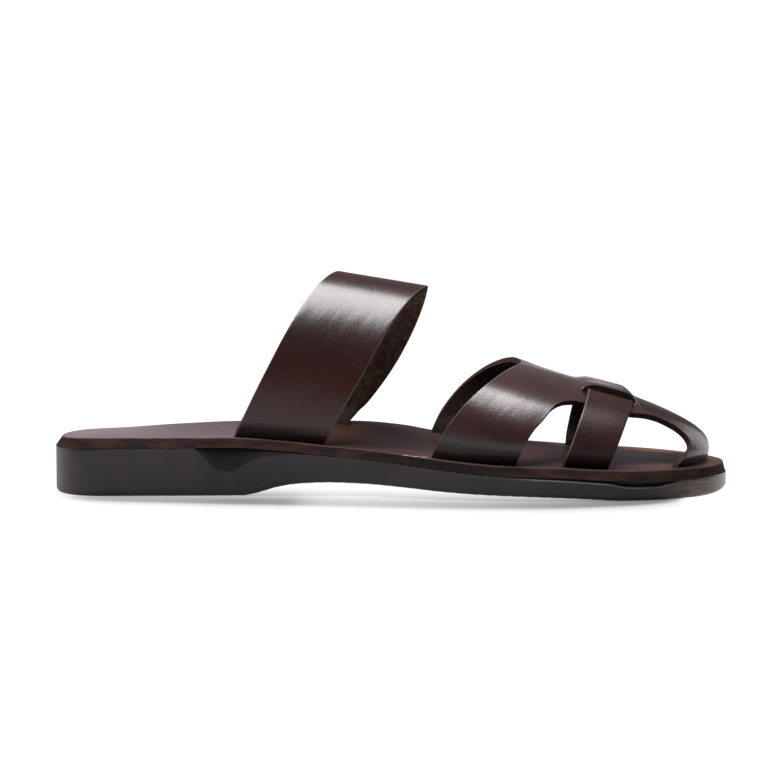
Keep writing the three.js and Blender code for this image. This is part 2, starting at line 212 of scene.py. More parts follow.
# Scoop in the rubber wall ahead of the heel: its lowest height, the depth of the faint step there and
# the height over which that fades in, and how far the wall leans in for each millimetre above it.
SCOOP = table("floor fade depth lean", [
    (58, 22.5, 0.8, 0.0, 0.0), (60, 21.0, 0.8, 0.05, 0.15), (66, 15.6, 0.8, 0.08, 0.2),
    (73, 10.2, 1.2, 0.08, 0.2), (77, 10.3, 1.6, 0.05, 0.2), (81, 12.6, 2.0, 0.05, 0.2),
    (85, 14.6, 2.4, 0.05, 0.2), (90, 16.2, 2.6, 0.05, 0.2), (105, 16.6, 2.0, 0.2, 0.2),
    (120, 16.2, 2.0, 0.2, 0.0),
])

# Recess in the rubber right under the footbed: its height and its depth. It is open in the forefoot.
RECESS = table("height depth", [
    (0, 0.3, 0.1), (120, 0.3, 0.1), (185, 0.3, 0.1), (205, 0.6, 0.7), (230, 0.8, 1.4),
    (240, 2.2, 2.4), (250, 2.3, 2.4), (257, 1.4, 1.6), (263, 0.5, 0.4), (272, 0.3, 0.1), (286, 0.3, 0.0),
])

# Outer face of the forefoot last, one arch a row: its station, its two feet, its crown and its power.
# A row stands by "along", which is the station too, until the toe's face drops almost straight down.
FOREFOOT = table("x lateral crown_y crown_z medial power", [
    (145, 145, -33.0, 7.5, 75.0, 33.0, 2.35), (155, 155, -36.5, 7.0, 70.0, 37.5, 2.4),
    (170, 170, -41.7, 6.5, 64.0, 42.2, 2.42), (185, 185, -44.2, 6.0, 57.6, 44.8, 2.4),
    (198, 198, -45.2, 5.0, 53.6, 45.6, 2.36), (212, 212, -45.4, 4.0, 49.7, 45.6, 2.3),
    (225, 225, -45.2, 3.5, 45.8, 45.0, 2.25), (240, 240, -43.6, 3.0, 41.2, 43.0, 2.3),
    (252, 252, -40.4, 3.0, 36.9, 39.0, 2.35), (262, 262, -35.0, 3.0, 32.6, 34.6, 2.35),
    (270, 270, -26.5, 3.0, 28.4, 27.6, 2.3), (275, 275, -18.0, 3.0, 24.8, 21.0, 2.2),
    (278, 278, -11.0, 3.0, 21.0, 15.5, 2.1), (279.5, 279.2, -7.5, 3.0, 16.0, 12.0, 2.1),
    (280.5, 279.2, -7.5, 3.0, 11.0, 12.0, 2.1), (282, 279.0, -7.5, 3.0, 8.0, 12.0, 2.1),
])

# Station of the throat's cut edge by how far across the last it is.
THROAT = table("lateral medial", [
    (0.02, 198.5, 198.5), (0.09, 197.6, 197.6), (0.18, 195.0, 195.0), (0.29, 191.0, 191.1),
    (0.41, 186.0, 186.4), (0.535, 180.4, 181.0), (0.645, 175.0, 175.8), (0.765, 169.0, 170.0),
    (0.87, 163.7, 165.0), (1.02, 156.5, 157.9), (1.08, 150.0, 151.5),
])

# Stations of a side opening's rear edge, and of its front edge on either side, in the same way.
OPENING = table("rear lateral medial", [
    (0.36, 252.0, 255.5, 257.0), (0.375, 249.0, 258.5, 260.0), (0.42, 241.7, 262.1, 264.4),
    (0.43, 230.0, 262.6, 265.0), (0.44, 218.9, 263.2, 265.6), (0.48, 213.5, 265.1, 267.6),
    (0.57, 208.3, 267.2, 270.4), (0.65, 205.5, 267.8, 272.2), (0.74, 201.4, 266.8, 273.9),
    (0.83, 198.1, 264.5, 275.2), (0.91, 195.2, 261.5, 276.0), (1.06, 191.5, 258.5, 276.6),
])

# Centre line of the woven strap on either side, and how far its flesh side stands off the last:
# inside it under the bridge, on top of the strip's margin, and flush with the legs further down.
WEAVE = table("lateral medial standoff", [
    (0, 235.4, 235.4, -3.9), (0.13, 235.0, 235.6, -3.7), (0.2, 234.6, 235.6, -2.75),
    (0.27, 233.9, 235.5, -1.15), (0.34, 233.3, 235.0, 0.06), (0.44, 232.0, 234.2, 0.06),
    (0.6, 229.3, 232.7, -0.8), (0.8, 225.5, 231.0, -2.1), (0.92, 222.8, 229.8, -2.4),
    (1, 221.5, 229.2, -2.4),
])

# How far the bridge between the slits stands off the last, on its crown and along its two edges.
BRIDGE = table("crown edge", [
    (220.5, 0, 0), (222.6, 0.3, 0.6), (224.6, 1.2, 2.9), (227, 1.7, 3.5), (231, 2.15, 3.75),
    (236, 2.45, 3.8), (240.5, 2.7, 3.75), (242.5, 2.35, 3.2), (244.6, 0.9, 1.5), (247, 0, 0),
])


@dataclass
class SolePattern:
    """Outline and heights of the sole."""

    length: float = LENGTH
    heel_round: float = 24.0      # length of the rounded heel end
    heel_power: float = 2.3
    toe_start: float = 230.0      # where the toe begins to round off
    toe_lean: float = 4.0         # how far the tip leans to the inner side
    crowding: float = 0.7         # how much the rows crowd at the two ends
    slope_power: float = 1.6      # of the rise from the outer to the inner edge; 1 would be straight
    least_width: float = 8.0      # the rise is never shared out over less
    samples: int = 900            # of the outline, on either side
    feel: float = 1.5             # how far ahead and back the outline is felt, to find its way
    rim: list[Vector] = field(init=False)
    walked: list[float] = field(init=False)

    def __post_init__(self) -> None:
        """Walks once round the outline, out along the lateral side and back along the medial one."""
        turns = [math.pi * i / self.samples for i in range(self.samples + 1)]
        steps = [self.length * (1 - math.cos(turn)) / 2 for turn in turns]
        out = [Vector((at, self.edge(at, Side.LATERAL))) for at in steps]
        back = [Vector((at, self.edge(at, Side.MEDIAL))) for at in reversed(steps[:-1])]
        self.rim = out + back
        self.walked = [0.0]
        for a, b in zip(self.rim, self.rim[1:]):
            self.walked.append(self.walked[-1] + (b - a).length)

    def edge(self, at: float, side: int) -> float:
        """Finds the footbed's lower edge.

        Args:
            at: station.
            side: -1 for the lateral side, +1 for the medial one.

        Returns:
            Its y.
        """
        heel = clamp(1 - at / self.heel_round)
        toe = clamp((at - self.toe_start) / (self.length - self.toe_start))
        full = (1 - heel ** self.heel_power) ** (1 / self.heel_power) * math.sqrt(1 - toe * toe)
        lean = self.toe_lean * (1 - full) if at > self.toe_start else 0.0
        return lean + side * OUTLINE[side_name(side)](at) * full

    def along_rim(self, walk: float) -> Vector:
        """Finds a point of the outline.

        Args:
            walk: how far round from the back of the heel, along the lateral side first.

        Returns:
            Station and y.
        """
        walk = walk % self.walked[-1]
        i = min(bisect_right(self.walked, walk) - 1, len(self.rim) - 2)
        share = (walk - self.walked[i]) / max(self.walked[i + 1] - self.walked[i], 1e-9)
        return self.rim[i].lerp(self.rim[i + 1], share)

    def rim_point(self, side: int, share: float, inset: float) -> Vector:
        """Finds a point of the outline, moved inwards.

        Args:
            side: -1 for the lateral side, +1 for the medial one.
            share: 0 at the back of the heel, 1 at the toe tip.
            inset: how far to move it inwards, square to the outline.

        Returns:
            Station and y.
        """
        out = self.walked[self.samples]
        walk = share * out if side < 0 else self.walked[-1] - share * (self.walked[-1] - out)
        way = self.along_rim(walk + self.feel) - self.along_rim(walk - self.feel)
        way.normalize()
        return self.along_rim(walk) + Vector((-way.y, way.x)) * inset

    def plan(self, u: float, v: float, inset: float) -> Vector:
        """Lays a point of a square sheet out on the sole's outline.

        Args:
            u: -1 at the heel, 1 at the toe.
            v: -1 at the lateral side, 1 at the medial one.
            inset: how far the sheet's rim stands inside the outline.

        Returns:
            Station and y.
        """
        disc_x = u * math.sqrt(1 - v * v / 2)
        disc_y = v * math.sqrt(1 - u * u / 2)
        turn = math.acos(clamp(-disc_x, -1, 1)) / math.pi
        share = turn - self.crowding * math.sin(2 * math.pi * turn) / (2 * math.pi)
        chord = math.sqrt(max(1 - disc_x * disc_x, 0))
        across = 0.5 if chord < 1e-6 else clamp((disc_y / chord + 1) / 2)
        lateral = self.rim_point(Side.LATERAL, share, inset)
        return lateral.lerp(self.rim_point(Side.MEDIAL, share, inset), across)

    def top(self, at: float, y: float, bevel: Optional[float] = None) -> float:
        """Finds the height of the footbed's top face.

        Args:
            at: station.
            y: how far sideways.
            bevel: how far the face's edges stand inside the outline, if not the bevel's own width.

        Returns:
            Its height.
        """
        inset = EDGES["bevel"](at) if bevel is None else bevel
        lateral = self.edge(at, Side.LATERAL) + inset
        medial = self.edge(at, Side.MEDIAL) - inset
        middle, width = (lateral + medial) / 2, max(medial - lateral, self.least_width)
        across = clamp((y - middle) / width + 0.5)
        return lerp(TOP["lateral"](at), TOP["medial"](at), across ** self.slope_power)


@dataclass
class Arch:
    """One arch of leather from its foot to its crown."""

    foot_y: float
    foot_z: float
    crown_y: float
    crown_z: float
    power: float
    bulge: float

    def point(self, fullness: float) -> tuple[float, float]:
        """Finds a point of the arch.

        Args:
            fullness: 0 at its foot, 1 at its crown.

        Returns:
            y and z.
        """
        angle = fullness * math.pi / 2
        reach = abs(math.cos(angle)) ** (2 / self.power)
        rise = math.copysign(abs(math.sin(angle)) ** (2 / self.power), math.sin(angle))
        swell = self.bulge * math.sin(math.pi * clamp(fullness)) * reach
        y = self.crown_y + (self.foot_y - self.crown_y) * reach + math.copysign(swell, self.foot_y)
        return y, self.foot_z + (self.crown_z - self.foot_z) * rise


@dataclass
class Last:
    """A shape that leather is pulled over; a kind of last gives its own face."""

    sole: SolePattern
    feel: float = 0.25            # how far ahead and back the face is felt, to find its outward way,
    feel_across: float = 0.004    # and how far to either side
    turn_in: float = 3.4          # how far the leather turns in towards its slot,
    turn_height: float = 6.5      # and from what height above the footbed
    turn_power: float = 1.7       # 1 would be a sharp fold

    def turned(self, y: float, z: float, ground: float) -> float:
        """Bends the leather down into its slot.

        Args:
            y: where the arch has it.
            z: its height.
            ground: height of the footbed.

        Returns:
            Its y, moved inwards where it is low.
        """
        low = clamp(1 - (z - ground) / self.turn_height)
        return y - math.copysign(self.turn_in * low ** self.turn_power, y)

    def face(self, along: float, across: float) -> Vector:
        """Point of the outer face of the leather, as station, y and z."""
        raise NotImplementedError

    def off(self, along: float, across: float, depth: float) -> Vector:
        """Finds a point that stands off the face.

        Args:
            along: as the kind of last counts it.
            across: place on the arch.
            depth: how far outwards, square to the face.

        Returns:
            Station, y and z.
        """
        ahead = self.face(along + self.feel, across) - self.face(along - self.feel, across)
        over = self.face(along, across + self.feel_across) - self.face(along, across - self.feel_across)
        return self.face(along, across) + ahead.cross(over).normalized() * depth


@dataclass
class ForefootLast(Last):
    """Last of the vamp; along is a station."""

    turn_in: float = 4.0
    turn_height: float = 8.0
    bulge: float = 3.0            # how far the legs belly out,
    bulge_fade: tuple[float, float] = (275.0, 250.0)  # and the stations from none to all of it
    least_rise: float = 0.4       # of a crown above the leather's foot, past the toe
    tuck_depth: float = 2.6       # how far the toe's foot is tucked back,
    tuck_height: float = 9.0      # from what height above the footbed,
    tuck_span: tuple[float, float] = (256.0, 274.0)   # and the stations from none to all of it

    def face(self, along: float, across: float) -> Vector:
        """Finds a point of the vamp's outer face.

        Args:
            along: station.
            across: place on the arch.

        Returns:
            Station, y and z.
        """
        x = FOREFOOT["x"](along)
        y = FOREFOOT[side_name(across)](along)
        ground = self.sole.top(x, y)
        foot_z = ground - FOOTBED_LEATHER
        crown_z = max(FOREFOOT["crown_z"](along), foot_z + self.least_rise)
        bulge = self.bulge * smooth(x, *self.bulge_fade)
        arch = Arch(y, foot_z, FOREFOOT["crown_y"](along), crown_z, FOREFOOT["power"](along), bulge)
        y, z = arch.point(1 - abs(across))
        low = clamp(1 - (z - ground) / self.tuck_height)
        tuck = self.tuck_depth * smooth(x, *self.tuck_span) * low * low
        return Vector((x - tuck, self.turned(y, z, ground), z))


@dataclass(frozen=True)
class InstepFoot:
    """How one end of the instep band stands."""

    rear: float                   # stations of its two edges
    front: float
    power: float                  # fullness of its arch
    bulge: float
    sweep: float                  # how early it leans forwards on its way up
    settle: float                 # how far it has settled back at the front


@dataclass
class InstepLast(Last):
    """Last of the instep band; along runs from its rear edge (0) to its front edge (1)."""

    feel: float = 0.01
    lateral: InstepFoot = InstepFoot(77.5, 116.5, 2.22, 3.2, 1.25, 3.3)
    medial: InstepFoot = InstepFoot(84.5, 122.4, 1.95, 3.0, 2.54, 1.6)
    crown_rear: float = 120.0     # stations of the two edges on the crown,
    crown_front: float = 158.7
    crown_y: float = 3.0
    crown_rear_z: float = 92.5    # and their heights
    crown_front_z: float = 86.1
    settle_top: float = 0.34      # fullness up to which an end has settled
    settle_power: float = 1.5
    settle_rear: float = 0.4      # share of the settling at the rear edge
    slot_margin: float = 1.2      # between the footbed's bevel and the slot

    def face(self, along: float, across: float) -> Vector:
        """Finds a point of the band's outer face.

        Args:
            along: 0 at its rear edge, 1 at its front edge.
            across: place on the arch.

        Returns:
            Station, y and z.
        """
        sign, end = (-1, self.lateral) if across < 0 else (1, self.medial)
        fullness = 1 - abs(across)
        low = clamp(1 - fullness / self.settle_top)
        settle = end.settle * lerp(self.settle_rear, 1.0, along)
        base = lerp(end.rear, end.front, along)
        foot_at = base - settle
        foot_y = self.sole.edge(foot_at, sign) - sign * (EDGES["bevel"](foot_at) + self.slot_margin)
        ground = self.sole.top(foot_at, foot_y)
        crown_z = lerp(self.crown_rear_z, self.crown_front_z, along)
        arch = Arch(foot_y, ground - FOOTBED_LEATHER, self.crown_y, crown_z, end.power, end.bulge)
        y, z = arch.point(fullness)
        forward = 1 - (1 - min(fullness, 1.0)) ** end.sweep
        at = lerp(base, lerp(self.crown_rear, self.crown_front, along), forward)
        return Vector((at - settle * low ** self.settle_power, self.turned(y, z, ground), z))


@dataclass(frozen=True)
class Crease:
    """A soft trough (or a ridge, where depth is negative) pressed into a top face."""

    start: tuple[float, float]    # station and y
    end: tuple[float, float]
    width: float
    depth: float
    fade: float = 0.35            # share of its length over which it fades out at either end

    def press(self, at: float, y: float) -> float:
        """Tells how far the crease sinks the leather.

        Args:
            at: station.
            y: how far sideways.

        Returns:
            The depth there.
        """
        way_x, way_y = self.end[0] - self.start[0], self.end[1] - self.start[1]
        length = math.hypot(way_x, way_y)
        along = ((at - self.start[0]) * way_x + (y - self.start[1]) * way_y) / length
        aside = ((at - self.start[0]) * way_y - (y - self.start[1]) * way_x) / length
        fade = self.fade * length
        ends = smooth(along, 0, fade) * smooth(length - along, 0, fade)
        return self.depth * ends * math.exp(-((aside / self.width) ** 2))


# ---------------------------------------------------------------- building in mesh


class Slab:
    """A closed slab that is grown level by level from a flat grid and then bent into place.

    Until it is placed, a vertex holds its column, its row and its level as x, y and z.
    """

    def __init__(self, columns: int, rows: int) -> None:
        """Lays out the grid.

        Args:
            columns: cells along x, counted from 0.
            rows: cells along y, counted from the middle row.
        """
        self.mesh = bmesh.new()
        bmesh.ops.create_grid(self.mesh, x_segments=columns, y_segments=rows, size=1)
        for vert in self.mesh.verts:
            vert.co = ((vert.co.x + 1) / 2 * columns, vert.co.y * rows / 2, 0.0)

    def cut_away(self, outside: Callable[[float, float], bool]) -> None:
        """Removes the cells whose centres are outside the pattern."""
        gone = [f for f in self.mesh.faces if outside(*f.calc_center_median().xy)]
        bmesh.ops.delete(self.mesh, geom=gone, context="FACES")

    def slit(self, row: float, start: float, end: float) -> None:
        """Cuts along a row and marks the far lip by a hair's breadth.

        Args:
            row: the row.
            start: the column where the cut starts.
            end: the column where it ends.
        """
        on_row = [
            e for e in self.mesh.edges
            if all(abs(v.co.y - row) < HAIR and start - HAIR <= v.co.x <= end + HAIR for v in e.verts)
        ]
        bmesh.ops.split_edges(self.mesh, edges=on_row)
        for vert in self.mesh.verts:
            if abs(vert.co.y - row) < HAIR and start + HAIR < vert.co.x < end - HAIR:
                if all(abs(f.calc_center_median().y) > abs(row) for f in vert.link_faces):
                    vert.co.y += math.copysign(HAIR, row)

    def grow(self, levels: int = 1) -> None:
        """Gives the sheet its thickness.

        Args:
            levels: in how many rings.
        """
        region: list[Any] = list(self.mesh.faces)
        for level in range(levels):
            inputs = region if level else region + list(self.mesh.edges) + list(self.mesh.verts)
            made = bmesh.ops.extrude_face_region(self.mesh, geom=inputs, use_keep_orig=not level)["geom"]
            if level:
                bmesh.ops.delete(self.mesh, geom=region, context="FACES")
            for vert in (g for g in made if isinstance(g, bmesh.types.BMVert)):
                vert.co.z += 1
            region = [g for g in made if isinstance(g, bmesh.types.BMFace)]

    def place(self, where: Callable[[float, float, float], Vector], lay: tuple[float, float]) -> None:
        """Bends the slab: names each face's hide, lays its UV map and moves every vertex.

        Args:
            where: station, y and z for a column, a row and a level.
            lay: real size of a cell along and across, for the UV map.
        """
        uv = self.mesh.loops.layers.uv.new("lay")
        for face in self.mesh.faces:
            levels = {round(v.co.z) for v in face.verts}
            if len(levels) > 1:
                face.material_index = Hide.CUT
            else:
                face.material_index = Hide.GRAIN if 0 in levels else Hide.FLESH
            for loop in face.loops:
                column, row, level = loop.vert.co
                loop[uv].uv = (column * lay[0] * MM, (row * lay[1] + level) * MM)
        for vert in self.mesh.verts:
            vert.co = placed(*where(*vert.co))
        bmesh.ops.recalc_face_normals(self.mesh, faces=self.mesh.faces[:])

    def round_rims(self, width: float) -> None:
        """Rounds the arrises between the cut edge and the two sides of the hide.

        Args:
            width: of the rounding.
        """
        rims = [
            e for e in self.mesh.edges
            if {f.material_index for f in e.link_faces} in ({Hide.CUT, Hide.GRAIN}, {Hide.CUT, Hide.FLESH})
        ]
        bmesh.ops.bevel(
            self.mesh, geom=rims, offset=width * MM, offset_type="OFFSET", affect="EDGES",
            segments=2, profile=0.5, material=-1, clamp_overlap=True,
        )

    def finish(
        self, name: str, materials: Sequence[Optional[bpy.types.Material]], smoothing: int,
    ) -> bpy.types.Object:
        """Makes the object, with its subdivision applied.

        Args:
            name: the piece's name.
            materials: for grain side, flesh side and cut edge.
            smoothing: levels of subdivision.

        Returns:
            The finished object at the origin.
        """
        mesh = bpy.data.meshes.new(name)
        self.mesh.to_mesh(mesh)
        self.mesh.free()
        for material in materials:
            mesh.materials.append(material)
        piece = bpy.data.objects.new(name, mesh)
        bpy.context.scene.collection.objects.link(piece)
        if smoothing:
            surface = piece.modifiers.new("smoothing", "SUBSURF")
            surface.levels = surface.render_levels = smoothing
            settle(piece)
        return piece

    def cutter(self, name: str) -> bpy.types.Object:
        """Makes a cutting tool, whose cuts show the flesh side.

        Args:
            name: its name.

        Returns:
            The tool, which doesn't render.
        """
        for face in self.mesh.faces:
            face.material_index = Hide.FLESH
        tool = self.finish(name, [None, None, None], 0)
        tool.hide_render = True
        return tool


def settle(piece: bpy.types.Object) -> None:
    """Applies a piece's modifiers to its mesh.

    Args:
        piece: the object.
    """
    bpy.context.view_layer.update()
    graph = bpy.context.evaluated_depsgraph_get()
    made = bpy.data.meshes.new_from_object(piece.evaluated_get(graph), depsgraph=graph)
    old, name = piece.data, piece.data.name
    piece.modifiers.clear()
    piece.data = made
    bpy.data.meshes.remove(old)
    made.name = name


def cut_slots(piece: bpy.types.Object, ends: Sequence[bpy.types.Object]) -> None:
    """Cuts slots, and splits the many-sided faces that this leaves, so that none folds shut.

    Args:
        piece: the object to cut.
        ends: the cutting tools; they are used up.
    """
    for end in ends:
        slot = piece.modifiers.new(end.name, "BOOLEAN")
        slot.operation, slot.solver, slot.object = "DIFFERENCE", "EXACT", end
    settle(piece)
    mesh = bmesh.new()
    mesh.from_mesh(piece.data)
    many_sided = [face for face in mesh.faces if len(face.verts) > 4]
    bmesh.ops.triangulate(mesh, faces=many_sided, quad_method="BEAUTY", ngon_method="BEAUTY")
    mesh.to_mesh(piece.data)
    mesh.free()
    for end in ends:
        bpy.data.objects.remove(end)


def mark_rims(piece: bpy.types.Object, facing: float = 1.0) -> None:
    """Stores at every vertex how far it is, in millimetres, from the rim between grain side and cut edge.

    Args:
        piece: the finished object; it gets the attribute "rim".
        facing: only a rim that faces forwards less than this is rubbed bare and given a painted glint.
    """
    mesh = piece.data
    touching: list[set[int]] = [set() for _ in mesh.vertices]
    for face in mesh.polygons:
        for index in face.vertices:
            touching[index].add(face.material_index)
    rims = [
        i for i, kinds in enumerate(touching)
        if Hide.GRAIN in kinds and Hide.CUT in kinds and mesh.vertices[i].normal.x <= facing
    ]
    tree = KDTree(len(rims))
    for place, index in enumerate(rims):
        tree.insert(mesh.vertices[index].co, place)
    tree.balance()
    found = [tree.find(vert.co)[2] / MM for vert in mesh.vertices]
    mesh.attributes.new("rim", "FLOAT", "POINT").data.foreach_set("value", found)


def mark_feet(piece: bpy.types.Object, sole: SolePattern) -> None:
    """Stores at every vertex how high it stands above the footbed, in millimetres.

    Args:
        piece: the finished object; it gets the attribute "foot".
        sole: where the footbed is.
    """
    heights = [
        vert.co.z / MM - sole.top(vert.co.x / MM + LENGTH / 2, vert.co.y / MM)
        for vert in piece.data.vertices
    ]
    piece.data.attributes.new("foot", "FLOAT", "POINT").data.foreach_set("value", heights)


def shade_smooth(piece: bpy.types.Object, sharp_degrees: float = 40.0) -> None:
    """Shades a piece smoothly, but for edges sharper than an angle."""
    piece.data.polygons.foreach_set("use_smooth", [True] * len(piece.data.polygons))
    piece.data.set_sharp_from_angle(angle=math.radians(sharp_degrees))


# ---------------------------------------------------------------- finishes


Colour = tuple[float, float, float]
WHITE: Colour = (1.0, 1.0, 1.0)


class Recipe:
    """A material in the making: its nodes, its shader and the places that they read."""

    def __init__(self, name: str, own: dict[str, Any]) -> None:
        """Starts the material.

        Args:
            name: its name.
            own: values for the shader's own sockets.
        """
        self.material = bpy.data.materials.new(name)
        self.material.use_nodes = True
        self.tree = self.material.node_tree
        self.shader = self.tree.nodes["Principled BSDF"]
        for socket, value in own.items():
            self.feed(self.shader.inputs[socket], value)

    @cached_property
    def coords(self) -> bpy.types.Node:
        """Its Texture Coordinate node."""
        return self.add("TexCoord")

    @cached_property
    def place(self) -> bpy.types.Node:
        """Gives X, Y and Z of the piece's own coordinates, in metres."""
        return self.add("SeparateXYZ", (self.coords.outputs["Object"],))

    def feed(self, socket: bpy.types.NodeSocket, value: Any) -> None:
        """Links an input socket or sets it.

        Args:
            socket: the input.
            value: another node's socket, or the node itself for its first output, or a plain value.
        """
        if isinstance(value, bpy.types.Node):
            value = value.outputs[0]
        if isinstance(value, bpy.types.NodeSocket):
            self.tree.links.new(value, socket)
        else:
            socket.default_value = value

    def add(
        self, kind: str, inputs: Union[dict[Any, Any], Sequence[Any]] = (), **settings: Any,
    ) -> bpy.types.Node:
        """Adds a shader node with its settings and links.

        Args:
            kind: the node's type after "ShaderNode".
            inputs: what feeds it, in the order of its inputs or by their names or numbers.
            settings: the node's own properties.

        Returns:
            The node.
        """
        node = self.tree.nodes.new("ShaderNode" + kind)
        for name, value in settings.items():
            setattr(node, name, value)
        for key, value in (inputs if isinstance(inputs, dict) else dict(enumerate(inputs))).items():
            self.feed(node.inputs[key], value)
        return node

    def curve(self, value: Any, rows: Sequence[tuple[float, float]]) -> bpy.types.Node:
        """Adds a smooth curve of a value, level beyond its ends.

        Args:
            value: what it reads.
            rows: points it goes through, rising.

        Returns:
            The node of its result.
        """
        start, end = rows[0][0], rows[-1][0]
        low, high = min(y for _, y in rows), max(y for _, y in rows)
        node = self.add("FloatCurve", {"Value": self.add("MapRange", (value, start, end))})
        points = node.mapping.curves[0].points
        places = [((x - start) / (end - start), (y - low) / (high - low)) for x, y in rows]
        points[0].location, points[1].location = places[0], places[-1]
        for place in places[1:-1]:
            points.new(*place)
        node.mapping.update()
        return self.add("MapRange", (node, 0.0, 1.0, low, high))

    def paint(self, ground: str, layers: Sequence[tuple[Any, str]]) -> None:
        """Lays colours over one another and gives the result to the shader.

        Args:
            ground: the lowest colour.
            layers: what gives each further colour's share, and the colour, from the lowest up.
        """
        colour: Any = linear(ground)
        for share, over in layers:
            # a Mix node's sockets for colours are its inputs 6 and 7 and its output 2
            mix = self.add("Mix", {0: share, 6: colour, 7: linear(over)}, data_type="RGBA")
            colour = mix.outputs[2]
        self.feed(self.shader.inputs["Base Color"], colour)


@dataclass(frozen=True)
class Grain:
    """A noise in the finish: what its size is in millimetres, and how it is laid."""

    size: float
    detail: float = 3.0
    stretch: tuple[float, float, float] = (1.0, 1.0, 1.0)
    on_lay: bool = False          # follows the piece's own UV map instead of Object coordinates

    def add(self, recipe: Recipe) -> bpy.types.Node:
        """Adds the noise.

        Args:
            recipe: the material in the making.

        Returns:
            The node of its value.
        """
        read = recipe.coords.outputs["UV" if self.on_lay else "Object"]
        place = recipe.add("Mapping", {"Vector": read, "Scale": self.stretch})
        scale = 1 / (self.size * MM)
        return recipe.add("TexNoise", {"Vector": place, "Scale": scale, "Detail": self.detail})


@dataclass(frozen=True)
class Patch:
    """A patch of a surface: its middle and its half-sizes."""

    at: float
    y: float
    length: float
    width: float

    def away(self, recipe: Recipe) -> bpy.types.NodeSocket:
        """Adds the distance from the patch's middle.

        Args:
            recipe: the material in the making.

        Returns:
            The socket of the distance, which is 1 on the patch's rim.
        """
        middle, half = placed(self.at, self.y, 0), (self.length * MM, self.width * MM, 1.0)
        offset = recipe.add("VectorMath", (recipe.coords.outputs["Object"], middle), operation="SUBTRACT")
        offset = recipe.add("VectorMath", (offset, half), operation="DIVIDE")
        return recipe.add("VectorMath", (offset,), operation="LENGTH").outputs["Value"]


@dataclass(frozen=True)
class Scuff(Patch):
    """A patch where the grain has broken up into pale fibres."""

    core: float = 0.55            # share of its half-sizes up to which it is scuffed all over
    fibres: Grain = Grain(1.3, 5.0, (0.5, 1.0, 1.0))
    fibre_span: tuple[float, float] = (0.48, 0.62)    # noise from whole grain to bare fibre

    def add(self, recipe: Recipe) -> bpy.types.Node:
        """Adds the scuff.

        Args:
            recipe: the material in the making.

        Returns:
            The node of its strength.
        """
        inside = recipe.add(
            "MapRange", (self.away(recipe), self.core, 1.0, 1.0, 0.0), interpolation_type="SMOOTHSTEP",
        )
        flecks = recipe.add("MapRange", (self.fibres.add(recipe), *self.fibre_span))
        return recipe.add("Math", (inside, flecks), operation="MULTIPLY")


@dataclass(frozen=True)
class Stain(Patch):
    """A soft patch of another colour."""

    colour: str
    share: float

    def add(self, recipe: Recipe) -> bpy.types.Node:
        """Adds the stain.

        Args:
            recipe: the material in the making.

        Returns:
            The node of its strength.
        """
        return recipe.add(
            "MapRange", (self.away(recipe), 0.0, 1.0, self.share, 0.0), interpolation_type="SMOOTHSTEP",
        )


JOINT_SHADE_BLACK = "030101"        # painted shade in the joint between a strap and the footbed, where the leather turns in towards its slot
